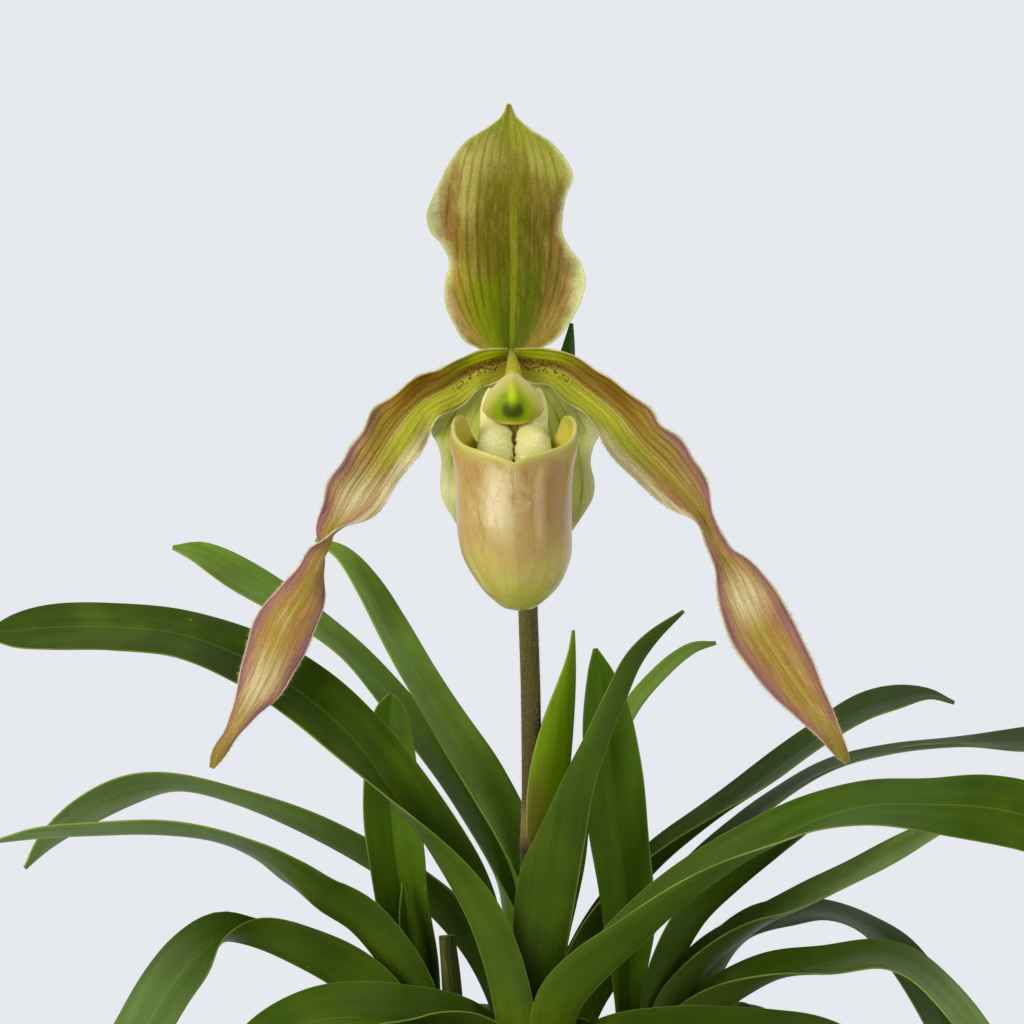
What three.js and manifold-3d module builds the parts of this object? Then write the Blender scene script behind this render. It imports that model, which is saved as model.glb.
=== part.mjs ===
// A potted slipper orchid: one open flower on a hairy stem above six fans of
// strap leaves, rooted in bark in a plain round pot.
// Millimetres, z up. The origin is the middle of the pot's foot, on the table.

import * as THREE from 'three';
import { mergeVertices } from 'three/addons/utils/BufferGeometryUtils.js';
import Module from 'manifold-3d';

const wasm = await Module();
wasm.setup();

// Driving dimensions
const POT = { height: 110, rim: 61, foot: 44, wall: 3, floor: 4, band: 9, bandProud: 1.6 };
const DRAIN = { count: 6, radius: 3.5, ring: 24 };
const BARK = { bottom: 6, top: 97, gap: 0.5, chips: 40, chipLength: 17, seed: 7 };
const CROWN = { bottom: 90, top: 104, margin: 0.7, sides: 16 };
const LEAF_THICKNESS = 0.75;
const PETAL_THICKNESS = 0.8;
const STEM_RADIUS = 2.1;
const SEAT = 0.3;

// The plant was measured in a front view taken level from 1.5 m away.
// at() puts a point measured in the plane y = 0 at its own depth.
const VIEW = { x: -7.3, z: 230, distance: 1500 };
function at(x, z, y) {
  const k = 1 + y / VIEW.distance;
  return [VIEW.x + (x - VIEW.x) * k, y, VIEW.z + (z - VIEW.z) * k];
}

// A small repeatable random draw
function seeded(seed) {
  let state = seed;
  return () => {
    state = (state * 16807) % 2147483647;
    return state / 2147483647;
  };
}

// A smooth curve through rows of numbers. The first three of each row set its
// pace, and the result gives the row at any share from 0 to 1 of the length.
function smooth(rows) {
  const knots = [0];
  for (let i = 1; i < rows.length; i += 1) {
    const [a, b] = [rows[i - 1], rows[i]];
    knots.push(knots[i - 1] + Math.hypot(b[0] - a[0], b[1] - a[1], b[2] - a[2]));
  }
  const last = rows.length - 1;
  const slopes = rows.map((row, i) => {
    const a = Math.max(i - 1, 0);
    const b = Math.min(i + 1, last);
    return row.map((_, j) => (rows[b][j] - rows[a][j]) / (knots[b] - knots[a]));
  });
  return (share) => {
    const d = share * knots[last];
    let i = 0;
    while (i < last - 1 && knots[i + 1] < d) i += 1;
    const span = knots[i + 1] - knots[i];
    const u = (d - knots[i]) / span;
    const [u2, u3] = [u * u, u * u * u];
    return rows[i].map((v, j) => (2 * u3 - 3 * u2 + 1) * v
      + (u3 - 2 * u2 + u) * span * slopes[i][j]
      + (3 * u2 - 2 * u3) * rows[i + 1][j]
      + (u3 - u2) * span * slopes[i + 1][j]);
  };
}

function geometryOf(points, triangles) {
  const geometry = new THREE.BufferGeometry();
  const flat = points.flatMap((p) => [p.x, p.y, p.z]);
  geometry.setAttribute('position', new THREE.Float32BufferAttribute(flat, 3));
  let volume = 0;
  const [a, b, c] = [new THREE.Vector3(), new THREE.Vector3(), new THREE.Vector3()];
  for (let i = 0; i < triangles.length; i += 3) {
    a.copy(points[triangles[i]]);
    b.copy(points[triangles[i + 1]]);
    c.copy(points[triangles[i + 2]]);
    volume += a.dot(b.cross(c));
  }
  geometry.setIndex(volume > 0 ? triangles : triangles.slice().reverse());
  return geometry;
}

// A closed skin over rings of equal length, with a flat fan at each end
function loft(rings) {
  const n = rings[0].length;
  const points = rings.flat();
  const triangles = [];
  for (let i = 0; i < rings.length - 1; i += 1) {
    for (let j = 0; j < n; j += 1) {
      const [a, b] = [i * n + j, i * n + ((j + 1) % n)];
      triangles.push(a, b, b + n, a, b + n, a + n);
    }
  }
  const ends = [[0, 1], [(rings.length - 1) * n, -1]];
  for (const [first, turn] of ends) {
    for (let j = 1; j < n - 1; j += 1) {
      const fan = [first, first + j + 1, first + j];
      triangles.push(...(turn > 0 ? fan : [fan[0], fan[2], fan[1]]));
    }
  }
  return geometryOf(points, triangles);
}

// A round rod of changing radius: rows of x, y, z, radius
function rod(rows, steps, sides = 12) {
  const along = smooth(rows);
  const rings = [];
  for (let i = 0; i <= steps; i += 1) {
    const share = i / steps;
    const row = along(share);
    const tangent = tangentOf(along, share);
    const across = new THREE.Vector3(1, 0, 0);
    across.addScaledVector(tangent, -across.dot(tangent)).normalize();
    const other = tangent.clone().cross(across);
    const ring = [];
    for (let j = 0; j < sides; j += 1) {
      const turn = (2 * Math.PI * j) / sides;
      ring.push(new THREE.Vector3(row[0], row[1], row[2])
        .addScaledVector(across, row[3] * Math.cos(turn))
        .addScaledVector(other, row[3] * Math.sin(turn)));
    }
    rings.push(ring);
  }
  return loft(rings);
}

function tangentOf(along, share) {
  const step = 0.001;
  const ahead = along(Math.min(share + step, 1));
  const behind = along(Math.max(share - step, 0));
  return new THREE.Vector3(ahead[0] - behind[0], ahead[1] - behind[1], ahead[2] - behind[2])
    .normalize();
}

// A thin folded blade. Each row gives the keel's x, y, z, the half widths on
// its two sides, the mean fold of the flanks out of flat, the turn of the inner
// face towards the viewer, and the bow, by which the fold grows from keel to
// margin, all in degrees. lean is 1 for a blade that grows to the left and -1
// for one to the right. ruffle(share, side) moves the margins off the section.
function blade(rows, { lean, steps, strips, thickness, ruffle = () => 0 }) {
  const along = smooth(rows);
  const [top, bottom] = [[], []];
  for (let i = 0; i <= steps; i += 1) {
    const share = i / steps;
    const [x, y, z, plus, minus, fold, turn, bow] = along(share);
    const tangent = tangentOf(along, share);
    const away = new THREE.Vector3(0, 1, 0);
    const up = away.clone().cross(tangent).multiplyScalar(lean).normalize();
    away.addScaledVector(tangent, -away.dot(tangent)).normalize();
    const turned = THREE.MathUtils.degToRad(turn);
    const inner = up.clone().multiplyScalar(Math.cos(turned))
      .addScaledVector(away, -Math.sin(turned));
    const across = up.clone().multiplyScalar(Math.sin(turned))
      .addScaledVector(away, Math.cos(turned));
    for (let j = 0; j <= strips; j += 1) {
      const side = (2 * j) / strips - 1;
      const width = Math.max(side < 0 ? minus : plus, 0.3);
      const first = THREE.MathUtils.degToRad(fold - bow / 2);
      const spread = THREE.MathUtils.degToRad(Math.abs(bow) < 1 ? 1 : bow);
      const s = Math.abs(side);
      const out = (width / spread) * (Math.sin(first + spread * s) - Math.sin(first));
      const rise = (width / spread) * (Math.cos(first) - Math.cos(first + spread * s));
      const slope = side === 0 ? 0 : first + spread * s;
      const skin = inner.clone().multiplyScalar(Math.cos(slope))
        .addScaledVector(across, -Math.sign(side) * Math.sin(slope));
      const middle = new THREE.Vector3(x, y, z)
        .addScaledVector(across, Math.sign(side) * out)
        .addScaledVector(inner, rise)
        .addScaledVector(skin, ruffle(share, side));
      top.push(middle.clone().addScaledVector(skin, thickness / 2));
      bottom.push(middle.clone().addScaledVector(skin, -thickness / 2));
    }
  }
  const n = strips + 1;
  const low = top.length;
  const triangles = [];
  for (let i = 0; i < steps; i += 1) {
    for (let j = 0; j < strips; j += 1) {
      const [a, b, c, d] = [i * n + j, i * n + j + 1, (i + 1) * n + j + 1, (i + 1) * n + j];
      triangles.push(a, b, c, a, c, d);
      triangles.push(low + a, low + c, low + b, low + a, low + d, low + c);
    }
    for (const [j, flip] of [[0, false], [strips, true]]) {
      const [a, b] = [i * n + j, (i + 1) * n + j];
      const wall = [a, b, low + b, a, low + b, low + a];
      triangles.push(...(flip ? wall.reverse() : wall));
    }
  }
  for (const [row, flip] of [[0, true], [steps, false]]) {
    for (let j = 0; j < strips; j += 1) {
      const [a, b] = [row * n + j, row * n + j + 1];
      const wall = [a, b, low + b, a, low + b, low + a];
      triangles.push(...(flip ? wall.reverse() : wall));
    }
  }
  return geometryOf([...top, ...bottom], triangles);
}

// Joining and cutting
function solidOf(geometry) {
  const bare = geometry.clone();
  bare.deleteAttribute('normal');
  bare.deleteAttribute('uv');
  const merged = mergeVertices(bare, 1e-4);
  return new wasm.Manifold(new wasm.Mesh({
    numProp: 3,
    vertProperties: new Float32Array(merged.attributes.position.array),
    triVerts: new Uint32Array(merged.index.array),
  }));
}

// The outer skin of a solid alone, with any hollow that joining sealed filled
function shapeOf(solid) {
  const shells = solid.decompose().sort((a, b) => b.volume() - a.volume());
  const mesh = shells[0].getMesh();
  const geometry = new THREE.BufferGeometry();
  geometry.setAttribute('position', new THREE.BufferAttribute(mesh.vertProperties, 3));
  geometry.setIndex(new THREE.BufferAttribute(mesh.triVerts, 1));
  return geometry;
}

const object = new THREE.Group();
function add(name, geometry, color, roughness = 0.6) {
  const mesh = new THREE.Mesh(
    geometry,
    new THREE.MeshStandardMaterial({ color, roughness, metalness: 0 }),
  );
  mesh.name = name;
  object.add(mesh);
}

function upright(geometry, x = 0, y = 0, z = 0) {
  return geometry.rotateX(Math.PI / 2).translate(x, y, z);
}

// Pot: a tapered round wall with a rim band, a flat foot and drain holes
// clear of its middle
const potRadius = (z) => POT.foot + ((POT.rim - POT.bandProud - POT.foot) * z) / POT.height;
function pot() {
  const { height, rim, foot, wall, floor, band } = POT;
  const profile = [
    [0, 0], [foot - 2, 0], [foot, 2], [potRadius(height - band - 1), height - band - 1],
    [rim, height - band], [rim, height - 1], [rim - 1, height],
    [rim - wall - 0.6, height], [rim - wall - 1.6, height - 1],
    [potRadius(floor) - wall, floor], [0, floor],
  ].map(([r, z]) => new THREE.Vector2(r, z));
  let solid = solidOf(upright(new THREE.LatheGeometry(profile, 40)));
  for (let i = 0; i < DRAIN.count; i += 1) {
    const turn = (2 * Math.PI * i) / DRAIN.count;
    const hole = new THREE.CylinderGeometry(DRAIN.radius, DRAIN.radius, 4 * floor, 12);
    solid = solid.subtract(solidOf(
      upright(hole, DRAIN.ring * Math.cos(turn), DRAIN.ring * Math.sin(turn), floor / 2),
    ));
  }
  return shapeOf(solid);
}

// Fans of leaves: each grows from a crown at x, y, whose outermost leaf base
// has the given radius. Leaf bases are nested arcs about the crown.
const FANS = {
  front: { x: -2, y: -9, radius: 10 },
  left: { x: -24, y: 1, radius: 8.5 },
  right: { x: 20, y: 3, radius: 8.5 },
  back: { x: -1, y: 25, radius: 11.6 },
  far: { x: 26, y: 28, radius: 12.4 },
  young: { x: -26, y: 18.5, radius: 4.4 },
};
const KEEL_OFFSET = 0.22;
const BASE_REACH = 84;
const NECK = 4;

// The leaf's first row: its base, an arc of the given radius about the crown
function baseRow({ fan, lean, ring, turn }) {
  const first = Math.asin(KEEL_OFFSET);
  const reach = THREE.MathUtils.degToRad(BASE_REACH) - first;
  const turned = THREE.MathUtils.degToRad(turn);
  const out = ring * Math.cos(first);
  const { x, y } = FANS[fan];
  const fold = THREE.MathUtils.radToDeg(first + reach / 2);
  return [x - lean * out * Math.cos(turned), y + out * Math.sin(turned), CROWN.top + SEAT,
    ring * reach, ring * reach, fold, turn];
}

// Leaves. lean is 1 for one that grows to the left and -1 to the right, ring
// is the radius of its base and turn the base's own turn. Each row, from base
// to tip, gives the keel's x and z as measured, its depth y, the half width,
// the fold and the turn.
const LEAVES = [
  { name: 'leaf_front_left', fan: 'front', lean: 1, ring: 7.2, turn: 0, rows: [
    [-10, 113, -11, 9, 50, -10], [-11.2, 122, -14, 9, 50, -20], [-14, 133, -15, 8.8, 52, -16],
    [-17.5, 142, -15.2, 8.7, 58, 0], [-24, 153.5, -15.5, 8.7, 58, 26], [-33, 167, -16.5, 8.6, 38, 42],
    [-42, 179.5, -17, 8.5, 14, 46], [-52, 188.6, -17.5, 8.4, 11, 50], [-65, 197, -18, 8.2, 7, 48],
    [-80, 202.8, -18, 7.4, 5, 43], [-95, 204.4, -18, 7.3, 4, 42], [-108, 204.4, -18, 7, 4, 44],
    [-117, 203.6, -18, 5, 4, 44], [-123.5, 203, -18, 0.5, 4, 44]] },
  { name: 'leaf_front_right', fan: 'front', lean: -1, ring: 8.6, turn: 0, rows: [
    [6, 112, -12, 10, 48, -14], [7, 120, -16, 10.3, 44, -28], [12, 126.4, -18.5, 10, 50, -20],
    [20, 134, -19.5, 9.2, 58, 2], [30, 143.2, -20.5, 8.6, 54, 16], [40, 150.6, -22, 8.2, 46, 22],
    [50, 156.8, -23.5, 8, 32, 25], [60, 162, -25, 8, 18, 27], [72, 165.2, -27, 8, 8, 36],
    [85, 165.4, -29, 8, 2, 45], [97, 164.8, -31, 8, 0, 62], [108, 162.4, -33, 7.8, 0, 70],
    [120, 157, -35, 7.2, 0, 68], [130, 150, -37, 5, 0, 60], [137, 143.5, -39, 0.5, 0, 55]] },
  { name: 'leaf_front_centre', fan: 'front', lean: -1, ring: 5.8, turn: 0, rows: [
    [2.6, 113, -8.8, 6.2, 52, -6], [2.8, 122, -10.2, 7, 52, -20], [4.8, 136, -12.2, 12, 46, -38],
    [7.2, 150, -13.4, 12.6, 42, -44], [8.6, 158.5, -14.2, 10.2, 42, -42], [10.6, 170, -14.4, 6.9, 46, -34],
    [13.8, 179.5, -14.2, 5.6, 44, -24], [17.6, 189, -14, 5.1, 40, -20], [20.8, 196.5, -13.8, 4.6, 38, -18],
    [24.8, 202.2, -13.4, 3.4, 34, -14], [30.5, 208.2, -13, 0.5, 30, -10]] },
  { name: 'leaf_front_low_left', fan: 'front', lean: 1, ring: 10, turn: 0, rows: [
    [-14, 111.4, -11.5, 9.4, 54, 0], [-18, 114, -15, 9.2, 58, 8], [-23.5, 115.8, -19, 9, 60, 18],
    [-31, 117.2, -24, 8.8, 52, 26], [-40, 118.4, -30, 8.5, 34, 36], [-50, 117.8, -35.5, 8.2, 18, 44],
    [-60, 113, -40.5, 8, 12, 42], [-68, 104.6, -44.5, 7.6, 10, 40], [-73.5, 94, -47, 6, 8, 36],
    [-77, 82, -49, 0.5, 8, 34]] },
  { name: 'leaf_front_low_right', fan: 'front', lean: -1, ring: 10, turn: 0, rows: [
    [9.5, 109, -12.5, 9.5, 50, 0], [16, 112, -18, 8.8, 42, 10], [26, 114, -26, 8.2, 28, 22],
    [37, 114.8, -33.5, 8, 20, 26], [49, 114.6, -40, 8, 16, 26], [61, 112.8, -46, 8, 12, 24],
    [72, 107.4, -51.5, 7.8, 10, 22], [81, 98, -56, 7, 8, 20], [87, 86, -59, 5.4, 8, 18],
    [90, 74, -61, 0.5, 8, 18]] },

  { name: 'leaf_left_upright', fan: 'young', lean: 1, ring: 4.4, turn: 88, rows: [
    [-26.6, 114, 21, 5.8, 48, 88], [-28, 126, 17, 6.4, 42, 88], [-30.4, 139, 12.6, 6.8, 36, 88],
    [-32.6, 152, 9.4, 7.2, 32, 88], [-34, 165, 8, 7.2, 32, 86], [-34.4, 176, 7.6, 6.6, 32, 84],
    [-34.3, 184, 7.4, 4.6, 32, 84], [-34, 190, 7.2, 0.5, 32, 84]] },
  { name: 'leaf_left_new', fan: 'young', lean: 1, ring: 2.6, turn: 88, rows: [
    [-27, 114, 17.6, 3, 46, 88], [-28, 122, 14.6, 3.2, 44, 88], [-29.4, 131, 11, 3, 40, 88],
    [-30.4, 140, 8, 2.3, 38, 88], [-31.2, 148.5, 5.6, 0.4, 36, 88]] },
  { name: 'leaf_left_middle', fan: 'left', lean: 1, ring: 7.1, turn: 0, rows: [
    [-30.6, 113, 0, 8.8, 56, -6], [-31.4, 121, -1, 9, 62, -8], [-35.6, 129.5, -2, 9, 62, -10],
    [-42.5, 138, -3, 8.8, 54, -18], [-50, 143, -4, 8.6, 34, -28], [-56, 149.2, -4.6, 8.2, 14, -24],
    [-63, 154.4, -5, 8, 8, -17], [-73, 158, -5.4, 8, 8, -12], [-86, 159.4, -5.8, 7.8, 10, -12],
    [-100, 159.2, -6, 7.2, 10, -13], [-112, 158.6, -6, 5, 9, -14], [-121.5, 157.4, -6, 0.5, 8, -14]] },
  { name: 'leaf_left_low', fan: 'left', lean: 1, ring: 8.6, turn: 0, rows: [
    [-33.4, 111.5, -1.5, 9.8, 54, -4], [-38, 118.5, -4, 10.2, 64, -12], [-46, 125.4, -6, 10.2, 72, -16],
    [-57, 131.6, -8, 8.8, 66, -16], [-65.4, 135, -9, 8, 48, -4], [-71.4, 135.6, -9.5, 7.8, 28, 24],
    [-77, 131.4, -10, 7.8, 16, 46], [-82.4, 125, -10.5, 7.8, 12, 52], [-87.2, 117, -11, 7.8, 12, 52],
    [-92, 107, -11.5, 7.8, 10, 52], [-95, 95, -12, 6.4, 10, 52], [-97.5, 82, -12, 0.5, 10, 52]] },

  { name: 'leaf_right_upright', fan: 'right', lean: -1, ring: 3.5, turn: 84, rows: [
    [18.6, 113, 5.4, 3.6, 52, 86], [18.4, 124, 5.6, 4.6, 44, 88], [18.4, 138, 7, 6.6, 34, 92],
    [17, 150, 7, 7.2, 30, 96], [15.4, 163, 6.8, 7.4, 28, 98], [14, 176, 6.6, 7.2, 28, 100],
    [12.8, 187, 6.4, 5.8, 28, 104], [11.6, 195, 6.2, 3.2, 28, 108], [11, 200, 6, 0.5, 28, 108]] },
  { name: 'leaf_right_inner', fan: 'right', lean: -1, ring: 5.7, turn: 0, rows: [
    [25.4, 113, 2.8, 5.8, 55, 0], [26.6, 122, 2.6, 6.8, 56, -2], [29.8, 131, 2.8, 7.8, 54, -4],
    [35, 140, 2.6, 8, 48, -6], [42.6, 147.4, 2.4, 7.8, 40, -4], [51, 154.4, 2.2, 7.4, 32, -4],
    [59, 160.8, 2, 6.4, 26, -2], [66, 166.4, 1.6, 0.5, 22, 0]] },
  { name: 'leaf_right_middle', fan: 'right', lean: -1, ring: 7.1, turn: 0, rows: [
    [27.8, 113, 3, 8.2, 54, 0], [30.4, 122, 4.2, 8.2, 50, 4], [37, 130.6, 5.6, 8, 40, 6],
    [46, 137.8, 6.6, 7.8, 26, 8], [56, 143.2, 7.4, 7.6, 16, 14], [66, 148.6, 8, 7.4, 12, 17],
    [76, 154, 8.2, 7, 11, 17], [85, 159, 8.2, 5.4, 11, 16], [93, 163.6, 8.2, 0.5, 11, 15]] },
  { name: 'leaf_right_low', fan: 'right', lean: -1, ring: 8.5, turn: 0, rows: [
    [30, 111, 2.8, 9, 54, 0], [35, 117, 1.8, 9, 56, 0], [42, 122.4, 0, 8.6, 48, 6],
    [51, 127.4, -1.5, 8.2, 28, 16], [62, 130.4, -2.6, 7.8, 10, 20], [73, 132.2, -3.6, 7.4, 5, 20],
    [80, 130.2, -4.2, 7.4, 5, 24], [87, 124.6, -4.8, 7.4, 5, 26], [93.4, 117, -5.4, 7.2, 5, 26],
    [99, 107.6, -6, 6.6, 5, 26], [103.4, 97.6, -6.5, 4.6, 5, 26], [106.5, 88, -7, 0.5, 5, 26]] },

  { name: 'leaf_back_left_arching', fan: 'back', lean: 1, ring: 8.5, turn: 0, rows: [
    [-10, 113, 25, 9, 56, 0], [-12.6, 123, 25, 9.4, 56, 0], [-18.6, 134, 23.4, 9, 58, 0],
    [-29, 145, 19.6, 8.2, 54, -2], [-41, 153, 18.6, 8, 44, -4], [-54, 160, 17.8, 8, 28, -10],
    [-67, 165.6, 17, 7.8, 16, -14], [-80, 169.2, 16.2, 7.6, 10, -16], [-91, 168, 15.4, 7.6, 8, -26],
    [-101, 163.4, 14.8, 7, 8, -28], [-109, 157.6, 14.2, 4.6, 8, -26], [-114.5, 151.6, 14, 0.5, 8, -24]] },
  { name: 'leaf_back_left_long', fan: 'back', lean: 1, ring: 7.1, turn: 0, rows: [
    [-7.8, 114, 24.6, 8, 56, 0], [-8.2, 126, 24, 8, 54, 4], [-8.8, 140, 22.8, 7.6, 44, 18],
    [-11.6, 154, 21.8, 7, 26, 32], [-17, 166, 21, 6.8, 14, 38], [-25, 178, 20.6, 6.2, 10, 38],
    [-33.6, 188.6, 20, 5.4, 8, 34], [-44, 199.8, 19.4, 5.6, 8, 28], [-56, 208.8, 18.8, 6.2, 8, 30],
    [-68, 216, 18.2, 6, 8, 36], [-76, 220.6, 17.8, 4, 8, 38], [-82, 222.2, 17.5, 0.5, 8, 38]] },
  { name: 'leaf_back_left_tall', fan: 'back', lean: 1, ring: 5.7, turn: 0, rows: [
    [-6, 114, 24.6, 6.6, 56, 0], [-5.8, 128, 23.6, 7, 54, 4], [-5.8, 144, 20.4, 7.2, 42, 24],
    [-8.6, 158, 18, 7.2, 26, 38], [-14, 170, 16.6, 7, 18, 40], [-21.4, 182, 15.6, 6.8, 12, 38],
    [-28.2, 193.6, 15, 6.6, 10, 34], [-34.4, 204.4, 14.6, 6.2, 10, 32], [-39.6, 213.6, 14.2, 5, 10, 34],
    [-44.6, 220.4, 14, 3, 10, 36], [-50.5, 224, 14, 0.5, 10, 36]] },
  { name: 'leaf_back_right_thin', fan: 'back', lean: -1, ring: 5.7, turn: 0, rows: [
    [3.8, 114, 24.8, 4.6, 54, 0], [4.4, 128, 24, 4, 46, 6], [5.4, 144, 22.4, 3.8, 34, 20],
    [8.6, 160, 21.6, 3.6, 24, 30], [13.6, 175, 21.2, 3.4, 18, 32], [19.4, 186.6, 21, 3.2, 16, 34],
    [26.6, 195.2, 20.8, 2.9, 14, 34], [32.4, 199.8, 20.6, 2, 12, 34], [37.6, 201.2, 20.4, 0.4, 12, 34]] },
  { name: 'leaf_back_right_short', fan: 'back', lean: -1, ring: 7.1, turn: 0, rows: [
    [6.2, 114, 24.8, 7.8, 56, 0], [9, 127, 24.6, 8, 54, 0], [15, 140, 24.6, 7.8, 46, 2],
    [25, 152, 25.2, 7.6, 34, 8], [36, 161.4, 25.8, 7.4, 22, 14], [48, 170.6, 26.4, 7.4, 14, 18],
    [60, 179.6, 27, 7.4, 10, 20], [70, 186, 27.4, 7.4, 10, 22], [78, 188.6, 27.6, 6.2, 10, 22],
    [84.4, 189.6, 27.8, 3, 10, 20], [90, 188, 28, 0.5, 10, 18]] },
  { name: 'leaf_back_right_long', fan: 'back', lean: -1, ring: 8.5, turn: 0, rows: [
    [8.4, 112, 25, 9, 55, 0], [13, 122, 25.4, 8.8, 56, 0], [21, 133.6, 26.4, 8.2, 46, 2],
    [31, 146.6, 28.4, 7.8, 32, 6], [41, 157, 30.6, 7.6, 20, 12], [50, 165.4, 32.4, 6.8, 14, 12],
    [62, 173, 34, 6.4, 12, 8], [76, 177, 35.2, 6.2, 12, 2], [90, 178.6, 36, 6.4, 10, 6],
    [104, 179, 36.4, 7.4, 8, 18], [118, 180.4, 36.8, 6.6, 8, 22], [130, 181, 37, 4, 8, 22],
    [137, 180, 37, 0.5, 8, 22]] },
  { name: 'leaf_back_low_left', fan: 'back', lean: 1, ring: 11.6, turn: 50, rows: [
    [-12.4, 113.2, 35.4, 11.6, 40, 34], [-17.7, 116.6, 42, 9.4, 28, 16], [-24.4, 118.3, 50, 8.4, 18, 4],
    [-31.1, 118.1, 57.5, 8, 12, -6], [-37.2, 114.4, 64, 8, 10, -22], [-41.9, 108.6, 69, 7.6, 8, -34],
    [-45.2, 99.3, 72.5, 5.6, 8, -40], [-47.5, 89, 75, 0.5, 8, -42]] },

  { name: 'leaf_far_arching', fan: 'far', lean: -1, ring: 8.5, turn: 0, rows: [
    [33.6, 113, 27, 8.2, 57, -2], [36.4, 123, 23.4, 8.6, 50, 0], [41, 132.6, 20.4, 8.2, 36, 10],
    [47, 138.2, 19.6, 8, 20, 20], [54, 141.2, 19, 7.8, 8, 18], [62, 141.6, 18.4, 7.6, 6, 12],
    [70, 138.8, 17.8, 7.6, 6, 16], [77, 133.4, 17.2, 7.6, 6, 30], [82.6, 126, 16.8, 7.4, 6, 34],
    [87.4, 116, 16.4, 7.2, 6, 34], [91, 104, 16, 5.6, 6, 34], [93.5, 92, 16, 0.5, 6, 34]] },
  { name: 'leaf_far_low', fan: 'far', lean: -1, ring: 12.4, turn: 58, rows: [
    [36, 113.4, 39, 11.4, 40, 34], [40.1, 117.6, 44, 9.2, 28, 14], [45.3, 118.7, 49.5, 8, 16, 0],
    [50.4, 115.7, 55.5, 8, 10, -16], [54.5, 109.3, 60, 7.6, 8, -32], [57.7, 100.5, 63.5, 5.6, 8, -40],
    [60, 90.2, 66, 0.5, 8, -42]] },
];

// The fold's share that is bow: strong in a clasping base, slight in the blade
const BASE_BOW = BASE_REACH - THREE.MathUtils.radToDeg(Math.asin(KEEL_OFFSET));
function leaf({ rows, steps = 15, ...base }) {
  const foot = [...baseRow(base), BASE_BOW];
  const neck = foot.map((value, i) => (i === 2 ? value + NECK : value));
  const rest = rows.map(([x, z, y, half, fold, turn]) => (
    [...at(x, z, y), half, half, fold, turn, 0.5 * fold + 4]));
  return blade([foot, neck, ...rest], {
    lean: base.lean, steps, strips: 4, thickness: LEAF_THICKNESS,
  });
}

// Sheaths: a fresh one folded round the stem, and an old cut one
function stemSheath() {
  const rows = [
    [2.8, 157.5, -8, 7.8, 66, 0], [4.4, 166, -8, 9.4, 66, 0], [5.3, 175, -8, 9.2, 64, 0],
    [6, 184, -8, 7.4, 60, 0], [6.4, 192, -8, 4.6, 56, 0], [6.4, 199, -8, 1.8, 52, 0],
    [6.2, 204, -8, 0.4, 50, 0],
  ].map(([x, z, y, half, fold, turn]) => [...at(x, z, y), half, half, fold, turn, 24]);
  return blade(rows, { lean: -1, steps: 12, strips: 6, thickness: 0.7 });
}

function oldSheath() {
  const base = baseRow({ fan: 'left', lean: -1, ring: 6, turn: 0 });
  const rows = [[-18, 114, 1.4, 5.8, 48, 0], [-18.8, 126, 1.4, 5.4, 48, 0], [-20.2, 137, 1.4, 4.6, 46, 0]]
    .map(([x, z, y, half, fold, turn]) => [...at(x, z, y), half, half, fold, turn, 56]);
  return blade([[...base, BASE_BOW], ...rows], {
    lean: -1, steps: 5, strips: 6, thickness: 0.8,
  });
}

// Stem, the ovary that carries the flower and the bract beside it
const STEM_TOP = at(-4.2, 224, -7.4);
function stem() {
  const rows = [[-3.4, CROWN.top + 3, -8], [-3.3, 130, -8], [-3.2, 157, -8], [-3, 170, -8],
    [-3.2, 190, -8], [-3.7, 206, -7.8]].map(([x, z, y]) => new THREE.Vector3(...at(x, z, y)));
  rows[0].z = CROWN.top + SEAT;
  rows.push(new THREE.Vector3(...STEM_TOP));
  const section = new THREE.Shape().absarc(0, 0, STEM_RADIUS, 0, 2 * Math.PI);
  return new THREE.ExtrudeGeometry(section, {
    steps: 14, curveSegments: 6, extrudePath: new THREE.CatmullRomCurve3(rows),
  });
}

const HEART = { x: -7.5, y: -14.6, z: 261.6 };
function ovary() {
  const [x, y, z] = STEM_TOP;
  return rod([
    [x, y, z + SEAT, 2], [x - 0.4, y + 1, z + 8, 2.2], [x - 1.4, y + 1.6, z + 18, 2.6],
    [x - 2.4, y + 0.8, z + 28, 2.7], [x - 3.1, y - 2, z + 35, 2.6], [HEART.x, HEART.y, HEART.z, 2.4],
  ], 10, 12);
}

function floralBract() {
  const [x, y, z] = STEM_TOP;
  const rows = [
    [x + 2.5, y + 2.3, z - 3, 3.4, 60], [x + 4.4, y + 4.4, z + 8, 5.2, 52],
    [x + 7, y + 6.4, z + 20, 5.4, 44], [x + 8.8, y + 7.4, z + 31, 4.4, 38],
    [x + 9.8, y + 8, z + 40, 2.6, 34], [x + 10, y + 8.4, z + 47.5, 0.4, 30],
  ].map(([px, py, pz, half, fold]) => [px, py, pz, half, half, fold, -52, 26]);
  return blade(rows, { lean: -1, steps: 9, strips: 6, thickness: 0.7 });
}

// A wave in a margin: a bump of the given height and breadth at one place
const bump = (share, centre, breadth) => Math.exp(-(((share - centre) / breadth) ** 2));

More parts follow.
